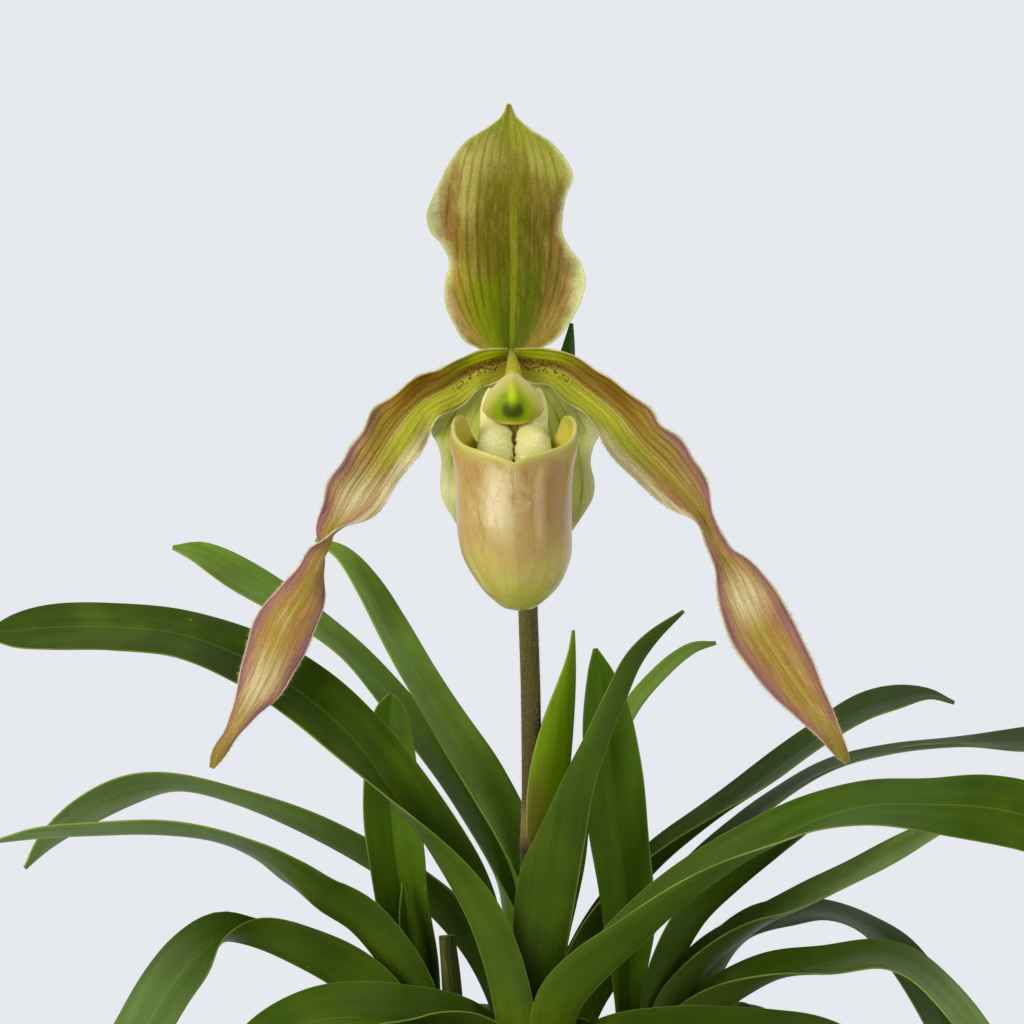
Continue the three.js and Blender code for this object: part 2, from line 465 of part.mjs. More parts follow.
// Dorsal sepal: rows of height, forward depth, right and left half width
function dorsalSepal() {
  const rows = [
    [264.2, -14, 4, 4, 12], [266.2, -13.2, 9.6, 9.4, 12], [270, -12, 13.4, 12.2, 12],
    [275, -10.8, 16.4, 14.2, 12], [280, -10.2, 17.2, 13.8, 11], [284.5, -10, 15.9, 12.8, 10],
    [288, -10, 13.2, 14.6, 10], [291, -10, 11.5, 17.4, 9], [295, -10.2, 11.4, 18.4, 8],
    [299, -10.6, 12.4, 17, 8], [303.5, -11.3, 14.2, 14.8, 8], [308, -12.4, 12.2, 12.3, 9],
    [311.4, -13.6, 9, 9.6, 10], [313.4, -14.4, 5.6, 6.2, 12], [316, -15.6, 2, 2.1, 14],
    [318.7, -17, 0.5, 0.5, 14],
  ].map(([z, y, right, left, fold]) => [-8, y, z, right, left, fold, 90, 8]);
  const ruffle = (share, side) => {
    const margin = Math.abs(side) ** 3;
    return side > 0
      ? margin * (1.2 * bump(share, 0.22, 0.1) - 2.6 * bump(share, 0.55, 0.1))
      : margin * (1.4 * bump(share, 0.56, 0.1) - 2.4 * bump(share, 0.34, 0.08));
  };
  return blade(rows, { lean: 1, steps: 20, strips: 8, thickness: PETAL_THICKNESS, ruffle });
}

// Synsepal: the same kind of rows, from its top down to its tip
function synsepal() {
  const rows = [
    [258.8, -14.9, 3, 3], [255.4, -16, 10, 10.6], [251, -17, 16.6, 16.6], [247, -18, 18.4, 18.4],
    [243.5, -19, 17.4, 17.3], [240, -19.8, 16.6, 16.5], [236, -20.6, 17.1, 16.4],
    [232, -21.2, 16.6, 15.9], [228, -21.8, 14.4, 13.9], [224, -22.2, 11, 10.5],
    [219, -22.4, 6.4, 6], [215.5, -22.4, 3, 3], [213, -22.2, 0.5, 0.5],
  ].map(([z, y, right, left]) => [-6.5, y, z, right, left, 9, 90, 8]);
  const ruffle = (share, side) => Math.abs(side) ** 3 * 1.1 * Math.sin(share * 21);
  return blade(rows, { lean: -1, steps: 15, strips: 8, thickness: PETAL_THICKNESS, ruffle });
}

// Petals: rows of x, y, z, half width, fold and turn. The left one makes half
// a turn on its way down, the right one only narrows.
const LEFT_PETAL = [
  [-11, -16.6, 262.2, 2.6, 20, 78], [-15.3, -18, 260.4, 4, 18, 84], [-21, -20, 257, 4.7, 14, 88],
  [-27.3, -22, 253.4, 5.5, 10, 90], [-32.6, -23.5, 247, 6.7, 8, 90], [-36.8, -24.5, 240.4, 6.5, 8, 90],
  [-40.5, -25.4, 235, 6.5, 10, 88], [-43.6, -26, 229.6, 5.4, 12, 74], [-45.9, -26.5, 225.6, 4.2, 10, 32],
  [-47, -26.9, 222.4, 3.6, 6, -2], [-48.4, -27.3, 219.6, 3.8, 6, -40], [-50, -27.8, 216.2, 4, 8, -66],
  [-52.8, -28.4, 211.2, 5.4, 8, -86], [-56, -29, 206, 6.4, 8, -90], [-58.6, -29.4, 200, 6.3, 8, -90],
  [-61.6, -29.8, 193, 5, 10, -90], [-65, -30.2, 187, 2.8, 12, -92], [-67.8, -30.4, 182.4, 1.6, 8, -95],
  [-70.3, -30.6, 178.4, 1.6, 6, -95], [-72, -30.8, 174.8, 0.5, 5, -95],
];
const RIGHT_PETAL = [
  [-4, -16.6, 262.2, 2.6, 20, 78], [3, -18.4, 260.6, 4.4, 18, 84], [9.8, -20.4, 255.8, 4.9, 14, 88],
  [15.4, -22, 251.2, 5.8, 10, 90], [20.2, -23.4, 245.2, 6.4, 8, 90], [26.4, -24.6, 239, 6.6, 8, 90],
  [31.4, -25.4, 233, 4.6, 14, 88], [34.4, -25.9, 228, 2.9, 34, 84], [36, -26.3, 224.3, 2.3, 46, 82],
  [38, -26.7, 220.8, 2.9, 30, 86], [40.8, -27.2, 216.8, 4.7, 12, 90], [43.5, -27.7, 211, 6.5, 8, 90],
  [46.2, -28.1, 205.3, 7.1, 8, 90], [49.7, -28.4, 199.3, 6.8, 8, 90], [53.5, -28.6, 193.4, 5.7, 8, 90],
  [57.2, -28.7, 188.2, 4.2, 10, 90], [60.6, -28.6, 183.3, 2.8, 12, 90], [63.2, -28.4, 179, 1.8, 12, 90],
  [65.2, -28.2, 175.8, 0.5, 12, 90],
];
function petal(table, lean) {
  const rows = table.map(([x, y, z, half, fold, turn]) => [x, y, z, half, half, fold, turn, 8]);
  const ruffle = (share, side) => (side > 0 ? 0.9 : -0.7) * side ** 2 * Math.sin(share * 34);
  return blade(rows, { lean, steps: 27, strips: 6, thickness: PETAL_THICKNESS, ruffle });
}

// Column with its shield-shaped staminode in front of it
function column() {
  return rod([
    [-7.2, -17.4, 262.2, 2.3], [-7.1, -21, 261.4, 2.3], [-7, -24.6, 259.6, 2.5],
    [-7, -27, 256.6, 2.6],
  ], 6, 12);
}

function staminode() {
  const rows = [
    [259.8, -29.4, 1.4], [258.6, -30, 3.8], [256.6, -30.6, 5.4], [254.2, -31.2, 6.5],
    [252, -31.4, 6.8], [250.4, -31.2, 5.9], [249.2, -30.8, 3.6], [248.7, -30.6, 1.6],
  ].map(([z, y, half]) => [-7.1, y, z, half, half, -16, 90, -16]);
  return blade(rows, { lean: -1, steps: 10, strips: 8, thickness: 1.2 });
}

// Pouch: an open shell. Rows give the height, half width, and how far the
// front and the back stand from its middle, all from the bottom up.
const POUCH = { x: -6.85, y: -37, wall: 1.1, around: 28, levels: 10 };
const POUCH_ROWS = [
  [208.8, 0.6, 0.6, 0.6], [209.3, 3, 3.2, 2.8], [211, 5.4, 6.6, 5.4], [213.5, 8, 9.4, 7.4],
  [217, 10.2, 11.6, 8.8], [221, 11.8, 12.6, 9.6], [226, 12.3, 13.1, 10], [231, 12.4, 13.4, 10],
  [236, 12.5, 13.6, 10], [240, 12.9, 13.9, 10], [245, 13.6, 14.2, 10], [252, 14.4, 14.4, 10],
];
const RIM = [
  [0, 240], [12, 241.4], [35, 243], [58, 245.2], [74, 248.2], [86, 249.8], [98, 249], [114, 246.4],
  [134, 244.4], [150, 245], [166, 250], [180, 252.5],
];
function pouch() {
  const shape = smooth(POUCH_ROWS);
  const bottom = POUCH_ROWS[0][0];
  const edge = smooth(RIM.map(([turn, z]) => [turn, 0, 0, z]));
  const half = (height, inset) => {
    let [low, high] = [0, 1];
    for (let i = 0; i < 24; i += 1) {
      const middle = (low + high) / 2;
      if (shape(middle)[0] < height) low = middle;
      else high = middle;
    }
    return shape(low).slice(1).map((value) => Math.max(value - inset, 0.4));
  };
  const rings = [];
  const ring = (share, inset) => {
    const points = [];
    for (let j = 0; j < POUCH.around; j += 1) {
      const turn = (2 * Math.PI * j) / POUCH.around;
      const degrees = THREE.MathUtils.radToDeg(Math.min(turn, 2 * Math.PI - turn));
      const floor = bottom + inset;
      const top = edge(degrees / 180)[3] - bottom;
      const height = floor + (top - inset) * share;
      const [wide, front, back] = half(height, inset);
      const deep = Math.cos(turn) > 0 ? front : back;
      points.push(new THREE.Vector3(
        POUCH.x + wide * Math.sin(turn), POUCH.y - deep * Math.cos(turn), height,
      ));
    }
    return points;
  };
  for (let i = 0; i <= POUCH.levels; i += 1) rings.push(ring((i / POUCH.levels) ** 1.2, 0));
  for (let i = POUCH.levels; i >= 0; i -= 1) {
    rings.push(ring((i / POUCH.levels) ** 1.2, POUCH.wall));
  }
  let solid = solidOf(loft(rings));
  for (const side of [-1, 1]) {
    const rows = [
      [3.9, -36.6, 240.6, 2.2], [3.9, -36, 243, 3.3], [4, -34, 245.4, 3.5], [4, -31, 246.8, 3.5],
      [3.9, -27.8, 248.4, 3.5], [3.8, -25.6, 251.4, 3.2],
    ].map(([out, y, z, width]) => [POUCH.x + side * out, y, z, width, width, -22, 90, -40]);
    solid = solid.add(solidOf(blade(rows, { lean: 1, steps: 6, strips: 4, thickness: 1.2 })));
  }
  return shapeOf(solid);
}

// Crowns and the bark mix that they stand in
function crown({ x, y, radius }) {
  const wide = radius + CROWN.margin;
  const { top, bottom } = CROWN;
  const profile = [[0, bottom], [wide - 3, bottom], [wide - 1, bottom + 3], [wide, top - 3],
    [wide, top - 0.8], [wide - 0.8, top], [0, top]].map(([r, z]) => new THREE.Vector2(r, z));
  return upright(new THREE.LatheGeometry(profile, CROWN.sides), x, y, 0);
}

// Radians from one chip to the next, which spreads them evenly over the mix
const GOLDEN_ANGLE = 2.39996;
function barkMix() {
  const { bottom, top, gap, chips, chipLength, seed } = BARK;
  const inside = (z) => potRadius(z) - POT.wall - gap;
  const profile = [[0, bottom], [inside(bottom) - 1, bottom], [inside(top) - 1, top - 1],
    [inside(top) - 3, top], [0, top]].map(([r, z]) => new THREE.Vector2(r, z));
  const draw = seeded(seed);
  const pieces = [solidOf(upright(new THREE.LatheGeometry(profile, 36)))];
  const reach = inside(top) - 0.68 * chipLength;
  for (let i = 0; i < chips; i += 1) {
    const out = reach * Math.sqrt((i + 0.5) / chips);
    const turn = i * GOLDEN_ANGLE;
    const long = chipLength * (0.7 + 0.5 * draw());
    const chip = new THREE.BoxGeometry(long, long * (0.45 + 0.3 * draw()), 3.4 + 2.4 * draw());
    chip.rotateX((draw() - 0.5) * 0.7).rotateY((draw() - 0.5) * 0.7).rotateZ(draw() * 2 * Math.PI);
    chip.translate(out * Math.cos(turn), out * Math.sin(turn), top + 0.4 + 1.4 * draw());
    pieces.push(solidOf(chip));
  }
  let solid = wasm.Manifold.union(pieces);
  for (const { x, y, radius } of Object.values(FANS)) {
    const wide = radius + CROWN.margin + SEAT;
    const hole = new THREE.CylinderGeometry(wide, wide, 40, CROWN.sides);
    solid = solid.subtract(solidOf(upright(hole, x, y, CROWN.bottom - SEAT + 20)));
  }
  return shapeOf(solid);
}

add('pot', pot(), 0xd9d3c6, 0.5);
add('bark_mix', barkMix(), 0x5a3a24, 0.9);
for (const [name, fan] of Object.entries(FANS)) add(`crown_${name}`, crown(fan), 0x6d5a34, 0.8);
for (const one of LEAVES) add(one.name, leaf(one), 0x3f6a1c, 0.45);
add('old_sheath', oldSheath(), 0x7c8a5a, 0.7);
add('flower_stem', stem(), 0x4a4020, 0.7);
add('stem_sheath', stemSheath(), 0x5f8f12, 0.5);
add('ovary', ovary(), 0x55501f, 0.7);
add('floral_bract', floralBract(), 0x3f6a1c, 0.5);
add('dorsal_sepal', dorsalSepal(), 0x9c9440, 0.55);
add('synsepal', synsepal(), 0xb7c07a, 0.55);
add('petal_left', petal(LEFT_PETAL, 1), 0x9a8a4a, 0.55);
add('petal_right', petal(RIGHT_PETAL, -1), 0x9a8a4a, 0.55);
add('pouch', pouch(), 0xc4a066, 0.35);
add('column', column(), 0xc5cc80, 0.5);
add('staminode', staminode(), 0x8fa52c, 0.45);

export default object;
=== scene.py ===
"""A potted slipper orchid: the skins, hairs, bark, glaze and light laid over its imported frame."""

import math

import bmesh
import bpy
import numpy as np
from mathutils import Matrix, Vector, noise


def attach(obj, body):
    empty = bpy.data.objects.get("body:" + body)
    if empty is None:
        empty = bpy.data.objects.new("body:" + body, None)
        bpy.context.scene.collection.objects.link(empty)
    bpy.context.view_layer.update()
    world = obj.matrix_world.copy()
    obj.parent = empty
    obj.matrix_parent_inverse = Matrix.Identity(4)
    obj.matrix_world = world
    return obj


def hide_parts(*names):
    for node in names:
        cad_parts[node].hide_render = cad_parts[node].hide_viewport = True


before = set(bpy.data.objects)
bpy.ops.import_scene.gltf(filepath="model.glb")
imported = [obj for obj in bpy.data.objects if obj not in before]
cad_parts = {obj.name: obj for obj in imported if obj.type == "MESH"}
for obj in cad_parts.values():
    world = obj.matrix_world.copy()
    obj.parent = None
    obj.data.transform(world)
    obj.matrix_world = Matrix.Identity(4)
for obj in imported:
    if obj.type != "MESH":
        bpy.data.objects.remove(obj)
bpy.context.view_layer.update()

bl_info = {
    "name": "Potted slipper orchid",
    "version": (1, 0, 0),
    "blender": (4, 5, 0),
    "location": "View3D > Sidebar > Orchid",
    "description": "Dresses the packed orchid with leaf, petal, bark and glaze surfaces",
    "category": "Add Mesh",
}

MM = 0.001

# The front view that the plant was measured in, level and 1.5 m away, in millimetres
VIEW = {"x": -7.3, "z": 230.0, "distance": 1500.0, "wide": 0.22 * 1024}
# The pot's and the plant's sizes in millimetres, as the frame's solids have them
POT = {"height": 110, "rim": 61, "foot": 44, "wall": 3, "floor": 4, "band": 9, "proud": 1.6}
DRAIN = {"count": 6, "radius": 3.5, "ring": 24}
CROWN_TOP = 104
# How far a piece stands above the crown or stem that it grows from, as in the frame
SEAT = 0.3
STEM_RADIUS = 2.1
LEAF_THICKNESS = 0.75
PETAL_THICKNESS = 0.8


# Curves and skins

def at(x, z, y):
    """Puts a point measured in the plane y = 0 of the front view at its own depth."""
    k = 1 + y / VIEW["distance"]
    return [VIEW["x"] + (x - VIEW["x"]) * k, y, VIEW["z"] + (z - VIEW["z"]) * k]


def smooth(rows, shares):
    """A smooth curve through rows of numbers, read at shares from 0 to 1 of its length."""
    rows = np.array(rows, float)
    shares = np.atleast_1d(np.asarray(shares, float))
    steps = np.linalg.norm(np.diff(rows[:, :3], axis=0), axis=1)
    knots = np.concatenate([[0], np.cumsum(steps)])
    low = np.maximum(np.arange(len(rows)) - 1, 0)
    high = np.minimum(np.arange(len(rows)) + 1, len(rows) - 1)
    slopes = (rows[high] - rows[low]) / (knots[high] - knots[low])[:, None]
    places = shares * knots[-1]
    i = np.clip(np.searchsorted(knots, places, side="left") - 1, 0, len(rows) - 2)
    span = (knots[i + 1] - knots[i])[:, None]
    u = (places - knots[i])[:, None] / span
    u2, u3 = u ** 2, u ** 3
    return ((2 * u3 - 3 * u2 + 1) * rows[i] + (u3 - 2 * u2 + u) * span * slopes[i]
            + (3 * u2 - 2 * u3) * rows[i + 1] + (u3 - u2) * span * slopes[i + 1])


def unit(vectors):
    """The same directions, one long."""
    return vectors / np.maximum(np.linalg.norm(vectors, axis=-1, keepdims=True), 1e-9)


def tangents(rows, shares):
    """The directions in which a smooth curve through rows runs on, at shares of its length."""
    step = 0.001
    ahead = smooth(rows, np.minimum(shares + step, 1))[:, :3]
    behind = smooth(rows, np.maximum(shares - step, 0))[:, :3]
    return unit(ahead - behind)


class Skin:
    """Points, faces and marks of a piece in the making, in millimetres."""

    MARKS = ("share", "side", "inner", "lane")

    def __init__(self):
        self.points = np.zeros((0, 3))
        self.faces = []
        self.paints = []
        self.flat = np.zeros((0, 2))
        self.marks = {name: np.zeros(0) for name in self.MARKS}

    def join(self, points, faces, flat=None, paint=0, **marks):
        """Adds a closed lump: its points, faces and, for each point, its flat place and marks."""
        start = len(self.points)
        count = len(points)
        self.points = np.vstack([self.points, points])
        self.faces += [[start + corner for corner in face] for face in faces]
        self.paints += [paint] * len(faces)
        self.flat = np.vstack([self.flat, np.zeros((count, 2)) if flat is None else flat])
        for name in self.MARKS:
            added = np.broadcast_to(np.asarray(marks.get(name, 0.0), float), (count,))
            self.marks[name] = np.concatenate([self.marks[name], added])
        return self


def quads(rows, columns, closed=False):
    """Faces of a grid of points, rows by columns, joined round when closed."""
    last = columns if closed else columns - 1
    return [[i * columns + j, i * columns + (j + 1) % columns,
             (i + 1) * columns + (j + 1) % columns, (i + 1) * columns + j]
            for i in range(rows - 1) for j in range(last)]


def blade_form(rows, lean, shares, sides, ruffle=None):
    """Middle points and upper directions of a folded blade, as a grid of shares by sides.

    Each row gives the keel's x, y, z, the half widths on its two sides, the mean fold of the
    flanks, the turn of the inner face towards the viewer and the bow, in degrees.
    """
    at_share = smooth(rows, shares)
    keel, tangent = at_share[:, :3], tangents(rows, shares)
    plus, minus, fold, turn, bow = at_share[:, 3:8].T
    depth = np.array([0.0, 1.0, 0.0])
    up = unit(lean * np.cross(depth, tangent))
    away = unit(depth - tangent * tangent[:, 1:2])
    cos, sin = np.cos(np.radians(turn))[:, None], np.sin(np.radians(turn))[:, None]
    inner, across = up * cos - away * sin, up * sin + away * cos
    sign, span = np.sign(sides)[None, :], np.abs(sides)[None, :]
    width = np.maximum(np.where(sides[None, :] < 0, minus[:, None], plus[:, None]), 0.3)
    first = np.radians(fold - bow / 2)[:, None]
    spread = np.radians(np.where(np.abs(bow) < 1, 1.0, bow))[:, None]
    out = width / spread * (np.sin(first + spread * span) - np.sin(first))
    rise = width / spread * (np.cos(first) - np.cos(first + spread * span))
    slope = np.where(span == 0, 0, first + spread * span)
    skin = (inner[:, None, :] * np.cos(slope)[..., None]
            - across[:, None, :] * (sign * np.sin(slope))[..., None])
    middle = (keel[:, None, :] + across[:, None, :] * (sign * out)[..., None]
              + inner[:, None, :] * rise[..., None])
    if ruffle is not None:
        middle = middle + skin * ruffle(shares[:, None], sides[None, :])[..., None]
    return middle, skin, width * span * sign


def blade_sides(strips):
    """Places from -1 to 1 across a blade, closer together near its margins."""
    crowding = 0.86 * math.pi / 2
    return np.sin(np.linspace(-1, 1, strips + 1) * crowding) / math.sin(crowding)


def add_blade(skin, rows, lean, steps, strips, thickness, ruffle=None, margin=0.5, relief=None,
              paint=0, veined=None):
    """Adds a blade with thinned, rounded margins; relief(share, lane) lifts its upper face.

    A lane is a place across as the veins see it, from -1 to 1 over veined(share) mm on each side.
    """
    shares = np.linspace(0, 1, steps + 1)
    sides = blade_sides(strips)
    middle, upper, reach = blade_form(rows, lean, shares, sides, ruffle)
    thin = thickness / 2 * (1 - (1 - margin) * np.abs(sides) ** 6)
    half = np.broadcast_to(thin[None, :], reach.shape)
    lanes = np.broadcast_to(sides[None, :], reach.shape)
    if veined is not None:
        lanes = np.clip(reach / veined(shares)[:, None], -1.2, 1.2)
    lift = half if relief is None else half + relief(shares[:, None], lanes)
    top = middle + upper * lift[..., None]
    low = middle - upper * half[..., None]
    n = strips + 1
    points = np.concatenate([top.reshape(-1, 3), low.reshape(-1, 3)])
    under = (steps + 1) * n
    grid = quads(steps + 1, n)
    faces = grid + [[under + corner for corner in reversed(face)] for face in grid]
    for j, flip in ((0, False), (strips, True)):
        for i in range(steps):
            wall = [i * n + j, under + i * n + j, under + (i + 1) * n + j, (i + 1) * n + j]
            faces.append(wall[::-1] if flip else wall)
    for i, flip in ((0, True), (steps, False)):
        for j in range(strips):
            wall = [i * n + j, under + i * n + j, under + i * n + j + 1, i * n + j + 1]
            faces.append(wall[::-1] if flip else wall)
    length = np.sum(np.linalg.norm(np.diff(smooth(rows, shares)[:, :3], axis=0), axis=1))
    along = np.broadcast_to(shares[:, None], reach.shape)
    flat = np.stack([reach.ravel(), (along * length).ravel()], axis=1)
    inner = np.concatenate([np.ones(under), np.zeros(under)])
    return skin.join(points, faces, flat=np.vstack([flat, flat]), paint=paint, inner=inner,
                     share=np.tile(along.ravel(), 2), side=np.tile(np.tile(sides, steps + 1), 2),
                     lane=np.tile(lanes.ravel(), 2))


def add_rings(skin, rings):
    """Adds a closed skin over rings of equal length."""
    rings = np.array(rings, float)
    count, n = rings.shape[:2]
    faces = quads(count, n, closed=True)
    faces += [list(range(n))[::-1], [(count - 1) * n + j for j in range(n)]]
    share = np.repeat(np.linspace(0, 1, count), n)
    side = np.tile(np.linspace(-1, 1, n, endpoint=False), count)
    middles = rings.mean(axis=1)
    steps = np.linalg.norm(np.diff(middles, axis=0), axis=1)
    along = np.repeat(np.concatenate([[0], np.cumsum(steps)]), n)
    half_girth = math.pi * np.linalg.norm(rings[0, 0] - middles[0])
    flat = np.stack([side * half_girth, along], axis=1)
    return skin.join(rings.reshape(-1, 3), faces, flat=flat, share=share, side=side, lane=side, inner=1.0)


def lathed(section, sides):
    """Rings of a round, upright body from its section's points, each a radius and a height."""
    turn = np.linspace(0, 2 * math.pi, sides, endpoint=False)
    return [np.stack([radius * np.cos(turn), radius * np.sin(turn), np.full(sides, float(z))], axis=1)
            for radius, z in section]


def rod_rings(rows, steps, sides, swell=None):
    """Rings of a round rod through rows of x, y, z, radius; swell(share, turn) grows its radius."""
    shares = np.linspace(0, 1, steps + 1)
    row, tangent = smooth(rows, shares), tangents(rows, shares)
    across = unit(np.array([1.0, 0.0, 0.0]) - tangent * tangent[:, :1])
    other = np.cross(tangent, across)
    turn = np.linspace(0, 2 * math.pi, sides, endpoint=False)
    radius = np.broadcast_to(row[:, 3:4], (steps + 1, sides))
    if swell is not None:
        radius = radius * (1 + swell(shares[:, None], turn[None, :]))
    return (row[:, None, :3] + across[:, None, :] * (radius * np.cos(turn))[..., None]
            + other[:, None, :] * (radius * np.sin(turn))[..., None])


def make_piece(name, skin, materials, nodes=(), crease=math.radians(50)):
    """Turns a skin into a piece that rides on the root and stands for the named nodes."""
    mesh = bpy.data.meshes.new(name)
    mesh.from_pydata((skin.points * MM).tolist(), [], skin.faces)
    body = bmesh.new()
    body.from_mesh(mesh)
    bmesh.ops.recalc_face_normals(body, faces=body.faces)
    body.to_mesh(mesh)
    body.free()
    for mark, values in skin.marks.items():
        mesh.attributes.new(mark, "FLOAT", "POINT").data.foreach_set("value", values)
    corners = np.zeros(len(mesh.loops), int)
    mesh.loops.foreach_get("vertex_index", corners)
    mesh.uv_layers.new(name="Flat").data.foreach_set("uv", (skin.flat * MM)[corners].ravel())
    for material in materials:
        mesh.materials.append(material)
    mesh.polygons.foreach_set("material_index", skin.paints)
    mesh.polygons.foreach_set("use_smooth", [True] * len(mesh.polygons))
    mesh.set_sharp_from_angle(angle=crease)
    piece = bpy.data.objects.new(name, mesh)
    bpy.context.scene.collection.objects.link(piece)
    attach(piece, "root")
    if nodes:
        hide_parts(*nodes)
    return piece


def stand_in(node, skin, slot, *materials):
    """Turns a skin into the piece that stands for one node of the frame."""
    return make_piece(node + "_skin", skin, materials, nodes=[node])


# The leaves and flower parts, measured as the frame's solids are

# The x and y of each fan's crown
FANS = {
    "front": (-2, -9), "left": (-24, 1), "right": (20, 3), "back": (-1, 25),
    "far": (26, 28), "young": (-26, 18.5),
}
# Leaf bases are nested arcs about the crown, which reach BASE_REACH degrees round it on both sides.
# Each flank's arc has its middle off the keel, by KEEL_OFFSET of the arc's radius
KEEL_OFFSET = 0.22
BASE_REACH = 84
BASE_BOW = BASE_REACH - math.degrees(math.asin(KEEL_OFFSET))
NECK = 4


def base_row(fan, lean, ring, turn):
    """A leaf's first row: an arc of the ring's radius about the crown of its fan."""
    first = math.asin(KEEL_OFFSET)
    reach = math.radians(BASE_REACH) - first
    turned = math.radians(turn)
    out = ring * math.cos(first)
    x, y = FANS[fan]
    fold = math.degrees(first + reach / 2)
    return [x - lean * out * math.cos(turned), y + out * math.sin(turned), CROWN_TOP + SEAT,
            ring * reach, ring * reach, fold, turn, BASE_BOW]


